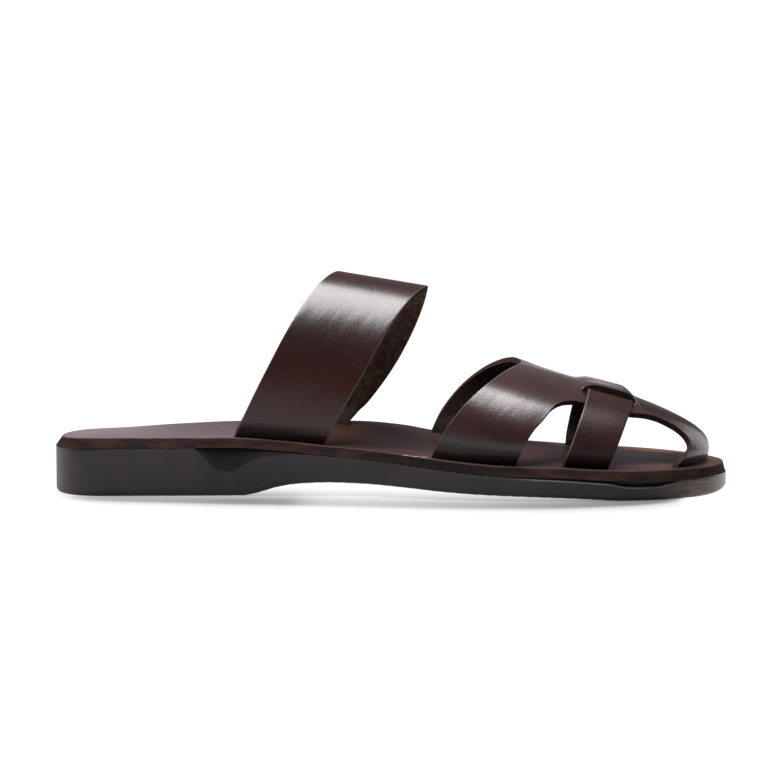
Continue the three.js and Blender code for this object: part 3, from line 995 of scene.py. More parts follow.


@dataclass(frozen=True)
class Leather:
    """Full-grain cow leather, drum dyed and waxed; its flesh side and cut edges are kin to it."""

    name: str
    colour: str                   # the dyed ground
    tint: str                     # redder or paler clouds in it
    worn_and_glint: str                     # bare fibre along the rims, with a painted glint where they catch the light, and in the scuffs
    roughness: tuple[float, float]
    grain: Grain                  # pebbles of the grain
    clouds: Grain
    bump: float                   # height of the pebbles
    wear: float = 0.6             # how wide the worn rim is
    wear_share: float = 0.6
    shine: float = 0.5            # specular level; raw fibre gives back less than a waxed grain
    pull: Optional[Grain] = None  # long soft streaks from the pull of the leather
    pull_height: float = 0.0
    dull: tuple[tuple[float, float], ...] = ()        # station and how much rougher it is there
    painted_sheen: str = ""               # colour of the painted mauve sheen on the glossy part before the dull one
    low_tint: str = ""            # redder colour lower down
    low_span: tuple[float, float] = (40.0, 62.0)      # heights over which it gives way
    stains: tuple[Stain, ...] = ()
    scuffs: tuple[Scuff, ...] = ()
    painted_shade_height: float = 0.0        # how high above the footbed the painted shade of the joint reaches
    painted_shade_share: float = 0.0
    tint_span: tuple[float, float] = (0.35, 0.68)     # clouds from none to all of the tint
    rub_span: tuple[float, float] = (0.3, 0.6)        # clouds from the least to all of the wear,
    rub_least: float = 0.35                           # and how much the least is
    pebble_span: tuple[float, float] = (0.3, 0.7)     # pebbles from the smoothest to the roughest

    def make(self) -> bpy.types.Material:
        """Makes the material.

        Returns:
            The material.
        """
        recipe = Recipe(self.name, {"IOR": 1.5, "Specular IOR Level": self.shine})
        clouds, pebbles = self.clouds.add(recipe), self.grain.add(recipe)
        recipe.paint(self.colour, [*self.tints_and_sheen(recipe, clouds), *self.marks(recipe, clouds)])
        self.polish(recipe, pebbles)
        self.relief(recipe, pebbles)
        return recipe.material

    def tints_and_sheen(self, recipe: Recipe, clouds: bpy.types.Node) -> list[tuple[Any, str]]:
        """Adds the shares of the clouds, of the painted sheen and of the redder colour lower down.

        Args:
            recipe: the material in the making.
            clouds: the noise of the clouds.

        Returns:
            Layers of colour, from the lowest up.
        """
        layers: list[tuple[Any, str]] = [(recipe.add("MapRange", (clouds, *self.tint_span)), self.tint)]
        # painted mauve sheen on the glossy heel, behind the dull part
        if self.dull:
            start, end = x_at(self.dull[0][0]), x_at(self.dull[1][0])
            reading = (recipe.place.outputs["X"], start, end, 1.0, 0.0)
            layers.append((recipe.add("MapRange", reading, interpolation_type="SMOOTHSTEP"), self.painted_sheen))
        if self.low_tint:
            reading = (recipe.place.outputs["Z"], self.low_span[0] * MM, self.low_span[1] * MM, 1.0, 0.0)
            layers.append((recipe.add("MapRange", reading, interpolation_type="SMOOTHSTEP"), self.low_tint))
        return layers

    def marks(self, recipe: Recipe, clouds: bpy.types.Node) -> list[tuple[Any, str]]:
        """Adds the shares of the stains, the painted shade near the footbed, the scuffs and the rubbed rims
        with their painted glint.

        Args:
            recipe: the material in the making.
            clouds: the noise of the clouds.

        Returns:
            Layers of colour, from the lowest up.
        """
        layers: list[tuple[Any, str]] = [(stain.add(recipe), stain.colour) for stain in self.stains]
        # painted shade that darkens the leather near the footbed, most at the joint
        if self.painted_shade_height:
            foot = recipe.add("Attribute", attribute_name="foot").outputs["Fac"]
            reading = (foot, 0.0, self.painted_shade_height, self.painted_shade_share, 0.0)
            layers.append((recipe.add("MapRange", reading, interpolation_type="SMOOTHSTEP"), JOINT_SHADE_BLACK))
        layers += [(scuff.add(recipe), self.worn_and_glint) for scuff in self.scuffs]
        # bare fibre and a painted glint where the rim is rubbed, broken up by the clouds
        rim = recipe.add("Attribute", attribute_name="rim").outputs["Fac"]
        rubbed = recipe.add("MapRange", (rim, 0.0, self.wear, self.wear_share, 0.0))
        broken = recipe.add("MapRange", (clouds, *self.rub_span, self.rub_least, 1.0))
        layers.append((recipe.add("Math", (rubbed, broken), operation="MULTIPLY"), self.worn_and_glint))
        return layers

    def polish(self, recipe: Recipe, pebbles: bpy.types.Node) -> None:
        """Sets the roughness, which follows the pebbles and rises where the surface is dull.

        Args:
            recipe: the material in the making.
            pebbles: the noise of the grain.
        """
        polish = recipe.add("MapRange", (pebbles, *self.pebble_span, *self.roughness))
        if self.dull:
            rise = recipe.curve(recipe.place.outputs["X"], [(x_at(at), rise) for at, rise in self.dull])
            polish = recipe.add("Math", (polish, rise), operation="ADD")
        recipe.feed(recipe.shader.inputs["Roughness"], polish)

    def relief(self, recipe: Recipe, pebbles: bpy.types.Node) -> None:
        """Sets the bumps: the pebbles, and over them the streaks of the pull.

        Args:
            recipe: the material in the making.
            pebbles: the noise of the grain.
        """
        relief = recipe.add("Bump", {"Height": pebbles, "Distance": self.bump * MM, "Strength": 1.0})
        if self.pull:
            relief = recipe.add("Bump", {
                "Height": self.pull.add(recipe), "Distance": self.pull_height * MM, "Strength": 1.0,
                "Normal": relief,
            })
        recipe.feed(recipe.shader.inputs["Normal"], relief)


@dataclass(frozen=True)
class MouldedRubber:
    """Nitrile rubber, moulded: satin black-brown, a little dusty, burnished where it was buffed."""

    name: str = "moulded_rubber"
    colour: str = "130D10"
    dust: str = "1D171A"
    smudge: str = "493525"        # glue and dye drawn over the toe by the buffing wheel,
    smudge_span: tuple[float, float] = (251.0, 271.0)  # and the stations from none to all of it
    # painted shade on the recessed wall of the scoops
    scoop_shade_black: str = "070707"
    satin: float = 0.5            # roughness of the wall,
    smudged_satin: float = 0.3    # of the smudged toe,
    scoop_satin: float = 0.34  # and of the scoops
    clouds: Grain = Grain(22.0, 2.0)
    dust_span: tuple[float, float] = (0.35, 0.7)      # clouds from none to all of the dust
    specks: Grain = Grain(0.9, 4.0)
    speck_height: float = 0.02
    lines: Grain = Grain(9.0, 2.0, (1.0, 1.0, 14.0))  # left by the buffing wheel, level with the ground
    line_height: float = 0.07
    smear_span: tuple[float, float] = (0.44, 0.6)     # lines from none to all of the smudge
    scoop_rim: tuple[float, float] = (-0.7, 0.5)      # heights over a scoop's floor from outside to in
    # how much painted shade there is inside a scoop, by station
    scoop_shade: tuple[tuple[float, float], ...] = (
        (57, 0.0), (60, 1.0), (83, 1.0), (98, 0.6), (123, 0.15), (143, 0.0),
    )

    def scoops(self, recipe: Recipe) -> bpy.types.Node:
        """Finds the scoops, whose recessed wall gets painted shade, a dead black.

        Args:
            recipe: the material in the making.

        Returns:
            The node that is 1 inside a scoop.
        """
        along, height = recipe.place.outputs["X"], recipe.place.outputs["Z"]
        floor = SCOOP["floor"]
        line = recipe.curve(along, [(x_at(at), z * MM) for at, z in zip(floor.xs, floor.ys)])
        over = recipe.add("Math", (height, line), operation="SUBTRACT")
        outside, within = (step * MM for step in self.scoop_rim)
        inside = recipe.add("MapRange", (over, outside, within), interpolation_type="SMOOTHSTEP")
        shade = recipe.curve(along, [(x_at(at), share) for at, share in self.scoop_shade])
        return recipe.add("Math", (inside, shade), operation="MULTIPLY")

    def make(self) -> bpy.types.Material:
        """Makes the material.

        Returns:
            The material.
        """
        recipe = Recipe(self.name, {"IOR": 1.52, "Specular IOR Level": 0.4})
        clouds, specks, lines = (grain.add(recipe) for grain in (self.clouds, self.specks, self.lines))
        dusty = recipe.add("MapRange", (clouds, *self.dust_span))
        toe = recipe.add("MapRange", (recipe.place.outputs["X"], *map(x_at, self.smudge_span)))
        smears = recipe.add("MapRange", (lines, *self.smear_span))
        smeared = recipe.add("Math", (toe, smears), operation="MULTIPLY")
        scoop = self.scoops(recipe)
        recipe.paint(self.colour, [(dusty, self.dust), (smeared, self.smudge), (scoop, self.scoop_shade_black)])
        satin = recipe.add("MapRange", (toe, 0.0, 1.0, self.satin, self.smudged_satin))
        satin = recipe.add("MapRange", (scoop, 0.0, 1.0, satin, self.scoop_satin))
        recipe.feed(recipe.shader.inputs["Roughness"], satin)
        buffed = recipe.add("Math", (1.0, scoop), operation="SUBTRACT")
        relief = recipe.add("Bump", {"Height": specks, "Distance": self.speck_height * MM, "Strength": 1.0})
        relief = recipe.add("Bump", {
            "Height": lines, "Distance": self.line_height * MM, "Strength": buffed, "Normal": relief,
        })
        recipe.feed(recipe.shader.inputs["Normal"], relief)
        return recipe.material


# The instep band: smooth waxed cow leather. A fine pebble and a soft gloss, redder lower down.
BAND_GRAIN = Leather(
    "waxed_cow_leather", "180A09", "1F0C0B", "7C6E64", (0.22, 0.3),
    Grain(0.8, 3.0), Grain(14.0, 4.0), 0.024, wear=0.4, wear_share=0.4, shine=0.38,
    pull=Grain(9.0, 2.0, (1.0, 0.35, 1.0), on_lay=True), pull_height=0.16, low_tint="220A08",
    painted_shade_height=6.0, painted_shade_share=0.95,
)
# The vamp: the same hide, lasted wet, so its pebble is a little more open.
VAMP_GRAIN = Leather(
    "lasted_cow_leather", "1C0E0E", "251212", "857970", (0.24, 0.31),
    Grain(0.8, 3.0), Grain(14.0, 4.0), 0.034, wear=0.4, wear_share=0.4, shine=0.42,
    pull=Grain(9.0, 2.0, (1.0, 0.35, 1.0), on_lay=True), pull_height=0.16, painted_shade_height=5.5, painted_shade_share=0.97,
)
# The woven strap: the same hide again, less rubbed, so its gloss is dull.
WOVEN_GRAIN = Leather(
    "dull_cow_leather", "180C0B", "200F0D", "80706A", (0.32, 0.42),
    Grain(1.1, 4.0), Grain(9.0, 4.0), 0.06, wear=0.45, wear_share=0.5, shine=0.16,
    painted_shade_height=3.6, painted_shade_share=0.9,
)
# The flesh side: shaved and raised a little, so matt, fibrous and paler in the light. Painted shade darkens
# it near the footbed.
UPPER_FLESH = Leather(
    "leather_flesh_side", "38251F", "5E453A", "4A3026", (0.75, 0.95),
    Grain(0.7, 6.0), Grain(2.2, 5.0), 0.3, wear=0.01, wear_share=0.0, shine=0.25,
    painted_shade_height=24.0, painted_shade_share=0.75,
)
# The vamp's flesh side: a darker copy of the flesh side, painted shade for the dim inside of the vamp and the
# woven strap.
SHADED_VAMP_FLESH = Leather(
    "shaded_leather_flesh_side", "100907", "2A1913", "2C1B15", (0.75, 0.95),
    Grain(0.7, 6.0), Grain(2.2, 5.0), 0.3, wear=0.01, wear_share=0.0, shine=0.15,
    painted_shade_height=14.0, painted_shade_share=0.7,
)
# The cut edge: inked dark and rubbed with wax; the fibres show as a rough line.
UPPER_CUT = Leather(
    "inked_leather_edge", "160C0A", "241510", "7A5E4C", (0.65, 0.9),
    Grain(0.6, 5.0), Grain(1.8, 4.0), 0.2, wear=0.45, wear_share=0.35, shine=0.1,
)
# The footbed: thick waxed leather with a lower gloss, rubbed and scratched by the foot.
FOOTBED_GRAIN = Leather(
    "waxed_footbed_leather", "1A0D0E", "281514", "7E695E", (0.28, 0.38),
    Grain(0.9, 3.0), Grain(18.0, 4.0, (0.5, 1.0, 1.0)), 0.07, wear=0.5, wear_share=0.12, shine=0.16,
    pull=Grain(6.0, 3.0, (0.25, 1.0, 1.0)), pull_height=0.12,
    dull=((98, 0.0), (138, 0.28), (203, 0.28), (233, 0.18), (283, 0.18)), painted_sheen="25151A",
    stains=(
        # the pale patch at the far toe, station 246, is painted light that lifts the shade under the vamp's
        # toe
        Stain(124, 7, 24, 34, "321C10", 0.9), Stain(246, 16, 62, 54, "5E3D32", 0.85),
        Stain(206, -4, 36, 46, "2D1A1C", 0.8), Stain(236, -16, 42, 30, "4A2D2A", 0.85),
        Stain(205, -43, 60, 10, "120A09", 0.8),
    ),
    scuffs=(Scuff(151.5, -36.0, 8.5, 3.6),),
)
# Its skived edge: raw fibre that took the dye unevenly, from dark brown to orange-brown.
FOOTBED_CUT = Leather(
    "skived_leather_edge", "0C0706", "22130F", "7A6458", (0.7, 0.95),
    Grain(0.7, 6.0), Grain(3.0, 6.0, (0.35, 0.35, 1.3)), 0.3, wear=0.4, wear_share=0.3, shine=0.06,
    stains=(Stain(165, -40, 55, 30, "060203", 0.9),),
)


# ---------------------------------------------------------------- pieces


@dataclass
class Outsole:
    """The moulded rubber sole: a heel block, a waist that lifts off the ground and a thin forefoot."""

    sole: SolePattern
    columns: int = 300            # six to a rib, so that the smoothing leaves the ribs their depth
    rows: int = 22
    row_width: float = 4.0        # real size of a row, for the UV map
    walls: int = 9                # rings of the wall between its rounded foot and its shoulder
    foot_radius: float = 0.9
    shoulder_rise: float = 0.5    # from the wall's last ring to the first one of the recess
    top_rise: float = 0.2         # from the recess's last ring to the rim of the top face
    hollow_power: float = 3.0     # how far out the tread keeps the height of its middle
    rib_pitch: float = 5.8        # wavy tread, guessed: the underside is out of sight
    rib_depth: float = 0.55
    rib_wave: float = 3.0         # how far the ribs wave along the sole,
    rib_swing: float = 9.0        # and how wide a wave is across it, per radian
    rib_margin: float = 0.12      # share of the tread's half-width over which they fade at the rim

    @property
    def levels(self) -> int:
        """Rings from the tread to the top face."""
        return self.walls + 3

    def height(self, at: float, ring: int, floor: float, ceiling: float) -> float:
        """Finds the height of a ring.

        Args:
            at: station.
            ring: 0 on the tread.
            floor: height of the tread.
            ceiling: height of the top face.

        Returns:
            Its height there.
        """
        shoulder = ceiling - RECESS["height"](at) - self.shoulder_rise
        if ring == 0:
            return floor
        if ring <= self.walls:
            return lerp(floor + self.foot_radius, shoulder, (ring - 1) / (self.walls - 1))
        if ring == self.walls + 1:
            return shoulder + self.shoulder_rise
        return ceiling - (self.top_rise if ring < self.levels else 0)

    def rib(self, at: float, y: float, rim: float) -> float:
        """Finds how far the tread is cut in between its ribs.

        Args:
            at: station.
            y: how far sideways.
            rim: 0 in the middle of the tread, 1 on its rim.

        Returns:
            The depth there.
        """
        wave = math.sin(2 * math.pi * (at + self.rib_wave * math.sin(y / self.rib_swing)) / self.rib_pitch)
        return self.rib_depth * (0.5 - 0.5 * wave) * smooth(1 - rim, 0, self.rib_margin)

    def where(self, column: float, row: float, level: float) -> Vector:
        """Places a vertex.

        Args:
            column: from the heel.
            row: from the middle.
            level: its ring, 0 on the tread.

        Returns:
            Station, y and z.
        """
        u, v = 2 * column / self.columns - 1, 2 * row / self.rows
        ring = round(level)
        rough = self.sole.plan(u, v, EDGES["setback"](self.sole.length / 2))
        at = clamp(rough.x, 0, self.sole.length)
        rim = max(abs(u), abs(v))
        floor = lerp(GROUND["centre"](at), GROUND["edge"](at), rim ** self.hollow_power)
        ceiling = self.sole.top(at, rough.y, 0.0) - FOOTBED_LEATHER - GLUE_GAP
        z = self.height(at, ring, floor, ceiling)
        over = z - SCOOP["floor"](at)
        scooped = SCOOP["depth"](at) * smooth(over / SCOOP["fade"](at)) + SCOOP["lean"](at) * max(over, 0)
        inset = EDGES["setback"](at) + scooped
        if ring == 0:
            inset += self.foot_radius
            z += self.rib(at, rough.y, rim)
        if ring > self.walls:
            inset += RECESS["depth"](at)
        point = self.sole.plan(u, v, inset)
        return Vector((point.x, point.y, z))

    def build(self) -> bpy.types.Object:
        """Makes the piece and dresses it.

        Returns:
            The outsole.
        """
        slab = Slab(self.columns, self.rows)
        slab.grow(self.levels)
        slab.place(self.where, (self.sole.length / self.columns, self.row_width))
        for face in slab.mesh.faces:
            face.material_index = 0
        piece = slab.finish("outsole_rubber", [MouldedRubber().make()], smoothing=1)
        shade_smooth(piece, sharp_degrees=60)
        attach(piece, "root")
        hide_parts("outsole")
        return piece


@dataclass
class Footbed:
    """The leather footbed with a skived edge and slots for the strap ends."""

    sole: SolePattern
    columns: int = 150
    rows: int = 44
    row_width: float = 2.2        # real size of a row, for the UV map
    rough_inset: float = 2.5      # of the line on which the bevel's width is read
    rim_radius: float = 0.45
    trim: float = 0.5             # how far the worn lower rim stands inside the pattern
    creases: tuple[Crease, ...] = (
        Crease((116, -12), (170, -20), 5.5, 0.2), Crease((128, 2), (176, -3), 6.5, 0.12),
        Crease((112, 15), (150, 17), 6.0, 0.1), Crease((134, -27), (158, -33), 1.6, 0.3),
        Crease((143, -33), (158, -38), 1.2, 0.6), Crease((146, -31.5), (152, -36), 0.9, -0.4),
        Crease((150, -32), (156, -39), 0.9, 0.5), Crease((153, -34), (160, -38), 0.8, -0.4),
    )

    def where(self, column: float, row: float, level: float) -> Vector:
        """Places a vertex.

        Args:
            column: from the heel.
            row: from the middle.
            level: 0 on the top face, 1 on the underside.

        Returns:
            Station, y and z.
        """
        u, v = 2 * column / self.columns - 1, 2 * row / self.rows
        if round(level) == 0:
            rough = self.sole.plan(u, v, self.rough_inset)
            point = self.sole.plan(u, v, EDGES["bevel"](clamp(rough.x, 0, self.sole.length)))
            sunk = sum(crease.press(point.x, point.y) for crease in self.creases)
            return Vector((point.x, point.y, self.sole.top(point.x, point.y) - sunk))
        point = self.sole.plan(u, v, self.trim)
        return Vector((point.x, point.y, self.sole.top(point.x, point.y, 0.0) - FOOTBED_LEATHER))

    def build(self, ends: Sequence[bpy.types.Object]) -> bpy.types.Object:
        """Makes the piece and dresses it.

        Args:
            ends: the strap ends grown by the play in their slots; they are used up.

        Returns:
            The footbed.
        """
        slab = Slab(self.columns, self.rows)
        slab.grow()
        slab.place(self.where, (self.sole.length / self.columns, self.row_width))
        slab.round_rims(self.rim_radius)
        materials = [FOOTBED_GRAIN.make(), UPPER_FLESH.make(), FOOTBED_CUT.make()]
        piece = slab.finish("footbed_leather", materials, smoothing=1)
        cut_slots(piece, ends)
        mark_rims(piece)
        shade_smooth(piece)
        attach(piece, "root")
        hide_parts("footbed")
        return piece


@dataclass
class Strap:
    """A strap over the foot; a kind of strap says where its vertices go."""

    last: Last
    name: str
    columns: int
    rows: int
    thickness: float
    cell: tuple[float, float]     # real size of a cell along and across, for the UV map
    nodes: tuple[str, ...]
    smoothing: int = 2
    rim_radius: float = 0.35
    grain_side: Leather = BAND_GRAIN
    flesh_side: Leather = UPPER_FLESH
    pale_rim_facing: float = 1.0      # which of its rims are rubbed bare and given a painted glint: 1 is all, 0 those that face the heel

    def where(self, column: float, row: float, level: float) -> Vector:
        """Station, y and z of a vertex."""
        raise NotImplementedError

    def pattern(self) -> Slab:
        """The cut leather, flat and without thickness."""
        return Slab(self.columns, self.rows)

    def build(self) -> bpy.types.Object:
        """Makes the piece and dresses it.

        Returns:
            The strap.
        """
        slab = self.pattern()
        slab.grow()
        slab.place(self.where, self.cell)
        slab.round_rims(self.rim_radius)
        materials = [self.grain_side.make(), self.flesh_side.make(), UPPER_CUT.make()]
        piece = slab.finish(self.name, materials, self.smoothing)
        mark_rims(piece, self.pale_rim_facing)
        mark_feet(piece, self.last.sole)
        shade_smooth(piece)
        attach(piece, "root")
        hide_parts(*self.nodes)
        return piece


@dataclass
class Band(Strap):
    """A plain strap that runs into a slot at either end."""

    end_columns: int = 6          # cells of an end
    end_rows: int = 8
    end_span: tuple[float, float] = (0.89, 1.04)      # places on the arch where it starts and stops

    def grown(self, share: float, across: float, level: float) -> Vector:
        """Station, y and z of a point of an end that is grown by the play in its slot."""
        raise NotImplementedError

    def at_end(self, side: Side, column: float, row: float, level: float) -> Vector:
        """Places a vertex of one of its two ends.

        Args:
            side: which end.
            column: from the end's rear edge.
            row: from its middle.
            level: 0 on its outer face, 1 on its inner one.

        Returns:
            Station, y and z.
        """
        across = side * lerp(*self.end_span, row / self.end_rows + 0.5)
        return self.grown(column / self.end_columns, across, level)

    def ends(self) -> list[bpy.types.Object]:
        """Makes its two ends, grown by the play in their slots, to cut the footbed with.

        Returns:
            The cutting tools.
        """
        made = []
        for side in Side:
            slab = Slab(self.end_columns, self.end_rows)
            slab.grow()
            slab.place(partial(self.at_end, side), self.cell)
            made.append(slab.cutter(f"{self.name}_slot_{side.name.lower()}"))
        return made


@dataclass
class InstepBand(Band):
    """The wide strap over the instep."""

    last: InstepLast
    name: str = "instep_band"
    columns: int = 12
    rows: int = 68
    thickness: float = INSTEP_LEATHER
    cell: tuple[float, float] = (3.3, 3.1)
    nodes: tuple[str, ...] = ("instep_strap",)
    overhang: float = 0.009       # share of its width by which its slots reach past it at either edge

    def where(self, column: float, row: float, level: float) -> Vector:
        """Station, y and z of a vertex."""
        return self.last.off(column / self.columns, 2 * row / self.rows, -self.thickness * level)

    def grown(self, share: float, across: float, level: float) -> Vector:
        """Places a point of an end that is grown by the play in its slot.

        Args:
            share: from the rear edge (0) to the front edge (1).
            across: place on the arch.
            level: 0 on the outer face, 1 on the inner one.

        Returns:
            Station, y and z.
        """
        depth = lerp(SLOT_GAP, -self.thickness - SLOT_GAP, level)
        return self.last.off(lerp(-self.overhang, 1 + self.overhang, share), across, depth)


@dataclass
class WovenBand(Band):
    """The narrow strap woven through the vamp."""

    last: ForefootLast
    name: str = "cross_band"
    columns: int = 8
    rows: int = 84
    thickness: float = LEATHER
    cell: tuple[float, float] = (2.3, 1.7)
    nodes: tuple[str, ...] = ("forefoot_upper",)
    grain_side: Leather = WOVEN_GRAIN
    flesh_side: Leather = SHADED_VAMP_FLESH
    pale_rim_facing: float = -0.1
    end_columns: int = 4
    end_span: tuple[float, float] = (0.84, 1.05)
    width: float = 18.4

    def on_last(self, lane: float, across: float, depth: float, grow: float = 0.0) -> Vector:
        """Finds a point of the strap.

        Args:
            lane: from -1 at its rear edge to 1 at its front edge.
            across: place on the arch.
            depth: how far it stands off the strap's inner face.
            grow: how far the two edges are moved outwards.

        Returns:
            Station, y and z.
        """
        reach = min(abs(across), 1.0)
        at = WEAVE[side_name(across)](reach) + lane * (self.width / 2 + grow)
        return self.last.off(at, across, WEAVE["standoff"](reach) + depth)

    def where(self, column: float, row: float, level: float) -> Vector:
        """Station, y and z of a vertex."""
        return self.on_last(2 * column / self.columns - 1, 2 * row / self.rows, self.thickness * (1 - level))

    def grown(self, share: float, across: float, level: float) -> Vector:
        """Places a point of an end that is grown by the play in its slot.

        Args:
            share: from the rear edge (0) to the front edge (1).
            across: place on the arch.
            level: 0 on the outer face, 1 on the inner one.

        Returns:
            Station, y and z.
        """
        depth = lerp(self.thickness + SLOT_GAP, -SLOT_GAP, level)
        return self.on_last(2 * share - 1, across, depth, SLOT_GAP)


@dataclass
class Vamp(Strap):
    """The vamp: two legs, a centre strip with a bridge between two slits, and a broad toe piece.

    Columns run from the throat to the toe, in the blocks leg, window and toe; rows run across it,
    the centre strip in the middle and a flank on either side. A "half" is half the strip's width,
    as a place on the arch.
    """

    last: ForefootLast
    name: str = "vamp_leather"
    columns: int = 48
    rows: int = 48
    thickness: float = LEATHER
    cell: tuple[float, float] = (2.4, 2.4)
    nodes: tuple[str, ...] = ("forefoot_upper",)
    grain_side: Leather = VAMP_GRAIN
    flesh_side: Leather = SHADED_VAMP_FLESH
    pale_rim_facing: float = 0.0
    leg: int = 12                 # columns of each block,
    window: int = 20
    toe: int = 16
    strip: int = 10               # and rows from the middle to the strip's edge and over a flank
    flank: int = 14
    slit_row: int = 6
    slit_start: int = 16
    slit_end: int = 28
    window_start: float = 213.5   # stations
    toe_corner: float = 254.5
    toe_end: float = 281.7
    toe_power: float = 1.5        # how much the columns crowd towards the toe's foot; 1 would be evenly
    throat_half: float = 0.3
    window_half: float = 0.48
    corner_half: float = 0.36
    toe_spread: float = 0.5       # the strip's half where it has spread, at the toe's foot
    grown_foot: float = 1.06      # how far across the grown vamp reaches, through the footbed
    toe_through: float = 2.0      # and how far its toe's foot is drawn down for the same reason
    sunk: float = 1.25            # how far the strap presses a slit's margin in,
    sunk_rear: tuple[float, float] = (221.5, 224.5)   # with the stations from none to all of it,
    sunk_front: tuple[float, float] = (246.5, 243.5)
    sunk_aside: tuple[float, float] = (0.345, 0.27)   # and the places on the arch
    bridge_fall: tuple[float, float] = (0.1, 0.27)    # where the bridge goes from crown to edge
    flare_height: float = 1.7     # of the throat's rim where it stands up,
    flare_length: float = 16.0
    flare_near: tuple[float, float] = (-0.05, 0.2)    # and the places on the arch from none to all of it
    flare_far: tuple[float, float] = (0.85, 0.45)
    strip_at: Curve = field(init=False)
    strip_half: Curve = field(init=False)
    slit_line: Curve = field(init=False)

    @property
    def opened(self) -> int:
        """The column where the windows end."""
        return self.leg + self.window

    def __post_init__(self) -> None:
        """Draws the centre strip's stations and halves by column and station, and the line of the slits."""
        self.strip_at = Curve(
            [self.leg, self.slit_start, self.slit_end, self.opened],
            [self.window_start, 222.2, 245.2, self.toe_corner],
        )
        self.strip_half = Curve(
            [self.window_start, 218.9, 230.0, 241.7, 249.0, self.toe_corner],
            [self.window_half, 0.44, 0.43, 0.42, 0.375, self.corner_half],
        )
        self.slit_line = Curve(
            [0, self.leg, self.slit_start, self.slit_end, self.opened, self.columns],
            [0.18, 0.285, 0.27, 0.27, 0.216, 0.6 * self.toe_spread],
        )

    def pattern(self) -> Slab:
        """Cuts the leather, with its two side openings and its two slits.

        Returns:
            The flat pattern.
        """
        slab = Slab(self.columns, self.rows)
        slab.cut_away(lambda column, row: self.leg < column < self.opened and abs(row) > self.strip)
        for side in Side:
            slab.slit(side * self.slit_row, self.slit_start, self.slit_end)
        return slab

    def drawn(self, column: float, row: float, grow: float = 0.0) -> tuple[float, float]:
        """Finds where a cell corner lies on the last.

        Args:
            column: from the throat (0) to the toe.
            row: from the middle, negative on the lateral side.
            grow: how far the cut edges are moved outwards.

        Returns:
            Station and across.
        """
        side = -1 if row < 0 else 1
        reach = abs(row)
        flank = clamp((reach - self.strip) / self.flank)
        foot = self.grown_foot if grow else 1.0
        if column <= self.leg:
            t = column / self.leg
            if reach > self.strip:
                rear, front = lerp(self.throat_half, foot, flank), lerp(self.window_half, foot, flank)
                end = OPENING["rear"](front) + grow
            else:
                rear = self.within(0, reach, self.throat_half)
                front = self.within(self.leg, reach, self.window_half)
                end = self.window_start
            return lerp(THROAT[side_name(side)](rear) - grow, end, t), side * lerp(rear, front, t)
        if column < self.opened:
            at = self.strip_at(column)
            return at, side * self.within(column, reach, self.strip_half(at))
        t = (column - self.opened) / self.toe
        if reach > self.strip:
            near, far = lerp(self.corner_half, foot, flank), lerp(self.toe_spread, foot, flank)
            start = OPENING[side_name(side)](near) - grow
        else:
            near = self.within(self.opened, reach, self.corner_half)
            far = self.within(self.columns, reach, self.toe_spread)
            start = self.toe_corner
        crowded = 1 - (1 - t) ** self.toe_power
        return lerp(start, self.toe_end + grow, crowded), side * lerp(near, far, t)

    def within(self, column: float, reach: float, half: float) -> float:
        """Finds how far across a row of the centre strip lies.

        Args:
            column: from the throat (0) to the toe.
            reach: rows from the middle.
            half: the strip's half there.

        Returns:
            Its place on the arch.
        """
        slit = self.slit_line(column)
        if reach <= self.slit_row:
            return slit * reach / self.slit_row
        return lerp(slit, half, clamp((reach - self.slit_row) / (self.strip - self.slit_row)))

    def lifted(self, at: float, across: float, on_bridge: bool) -> float:
        """Finds how far the strap woven through it pushes the leather off the last.

        Args:
            at: station.
            across: place on the arch.
            on_bridge: whether the point is between the slits, or on the margin beside one.

        Returns:
            Millimetres, negative where the margin is pressed inwards.
        """
        if on_bridge:
            fall = smooth(abs(across), *self.bridge_fall)
            return lerp(BRIDGE["crown"](at), BRIDGE["edge"](at), fall)
        under = min(smooth(at, *self.sunk_rear), smooth(at, *self.sunk_front))
        return -self.sunk * under * smooth(abs(across), *self.sunk_aside)

    def flare(self, at: float, across: float) -> float:
        """Finds how far the throat's rim stands up, on the inner side of the crown.

        Args:
            at: station.
            across: place on the arch.

        Returns:
            Millimetres.
        """
        throat = THROAT[side_name(across)](abs(across))
        near = smooth(at, throat + self.flare_length, throat)
        return self.flare_height * near * smooth(across, *self.flare_near) * smooth(across, *self.flare_far)

    def where(self, column: float, row: float, level: float) -> Vector:
        """Places a vertex.

        Args:
            column: from the throat (0) to the toe.
            row: from the middle, negative on the lateral side.
            level: 0 on the grain side, 1 on the flesh side.

        Returns:
            Station, y and z.
        """
        at, across = self.drawn(column, row)
        on_bridge = abs(row) < self.slit_row + HAIR / 2
        lift = self.lifted(at, across, on_bridge) + self.flare(at, across)
        return self.last.off(at, across, lift - self.thickness * level)

    def grown(self, column: float, row: float, level: float) -> Vector:
        """Places a vertex of the vamp that is grown by the play in its slots.

        Args:
            column: from the throat (0) to the toe.
            row: from the middle, negative on the lateral side.
            level: 0 on the grain side, 1 on the flesh side.

        Returns:
            Station, y and z.
        """
        at, across = self.drawn(column, row, SLOT_GAP)
        point = self.last.off(at, across, lerp(SLOT_GAP, -self.thickness - SLOT_GAP, level))
        if column == self.columns:
            point.z -= self.toe_through
        return point

    def ends(self) -> list[bpy.types.Object]:
        """Makes the whole vamp, grown by the play in its slots, to cut the footbed with.

        Returns:
            The one cutting tool.
        """
        slab = self.pattern()
        slab.grow()
        slab.place(self.grown, self.cell)
        return [slab.cutter(f"{self.name}_slots")]


# ---------------------------------------------------------------- studio


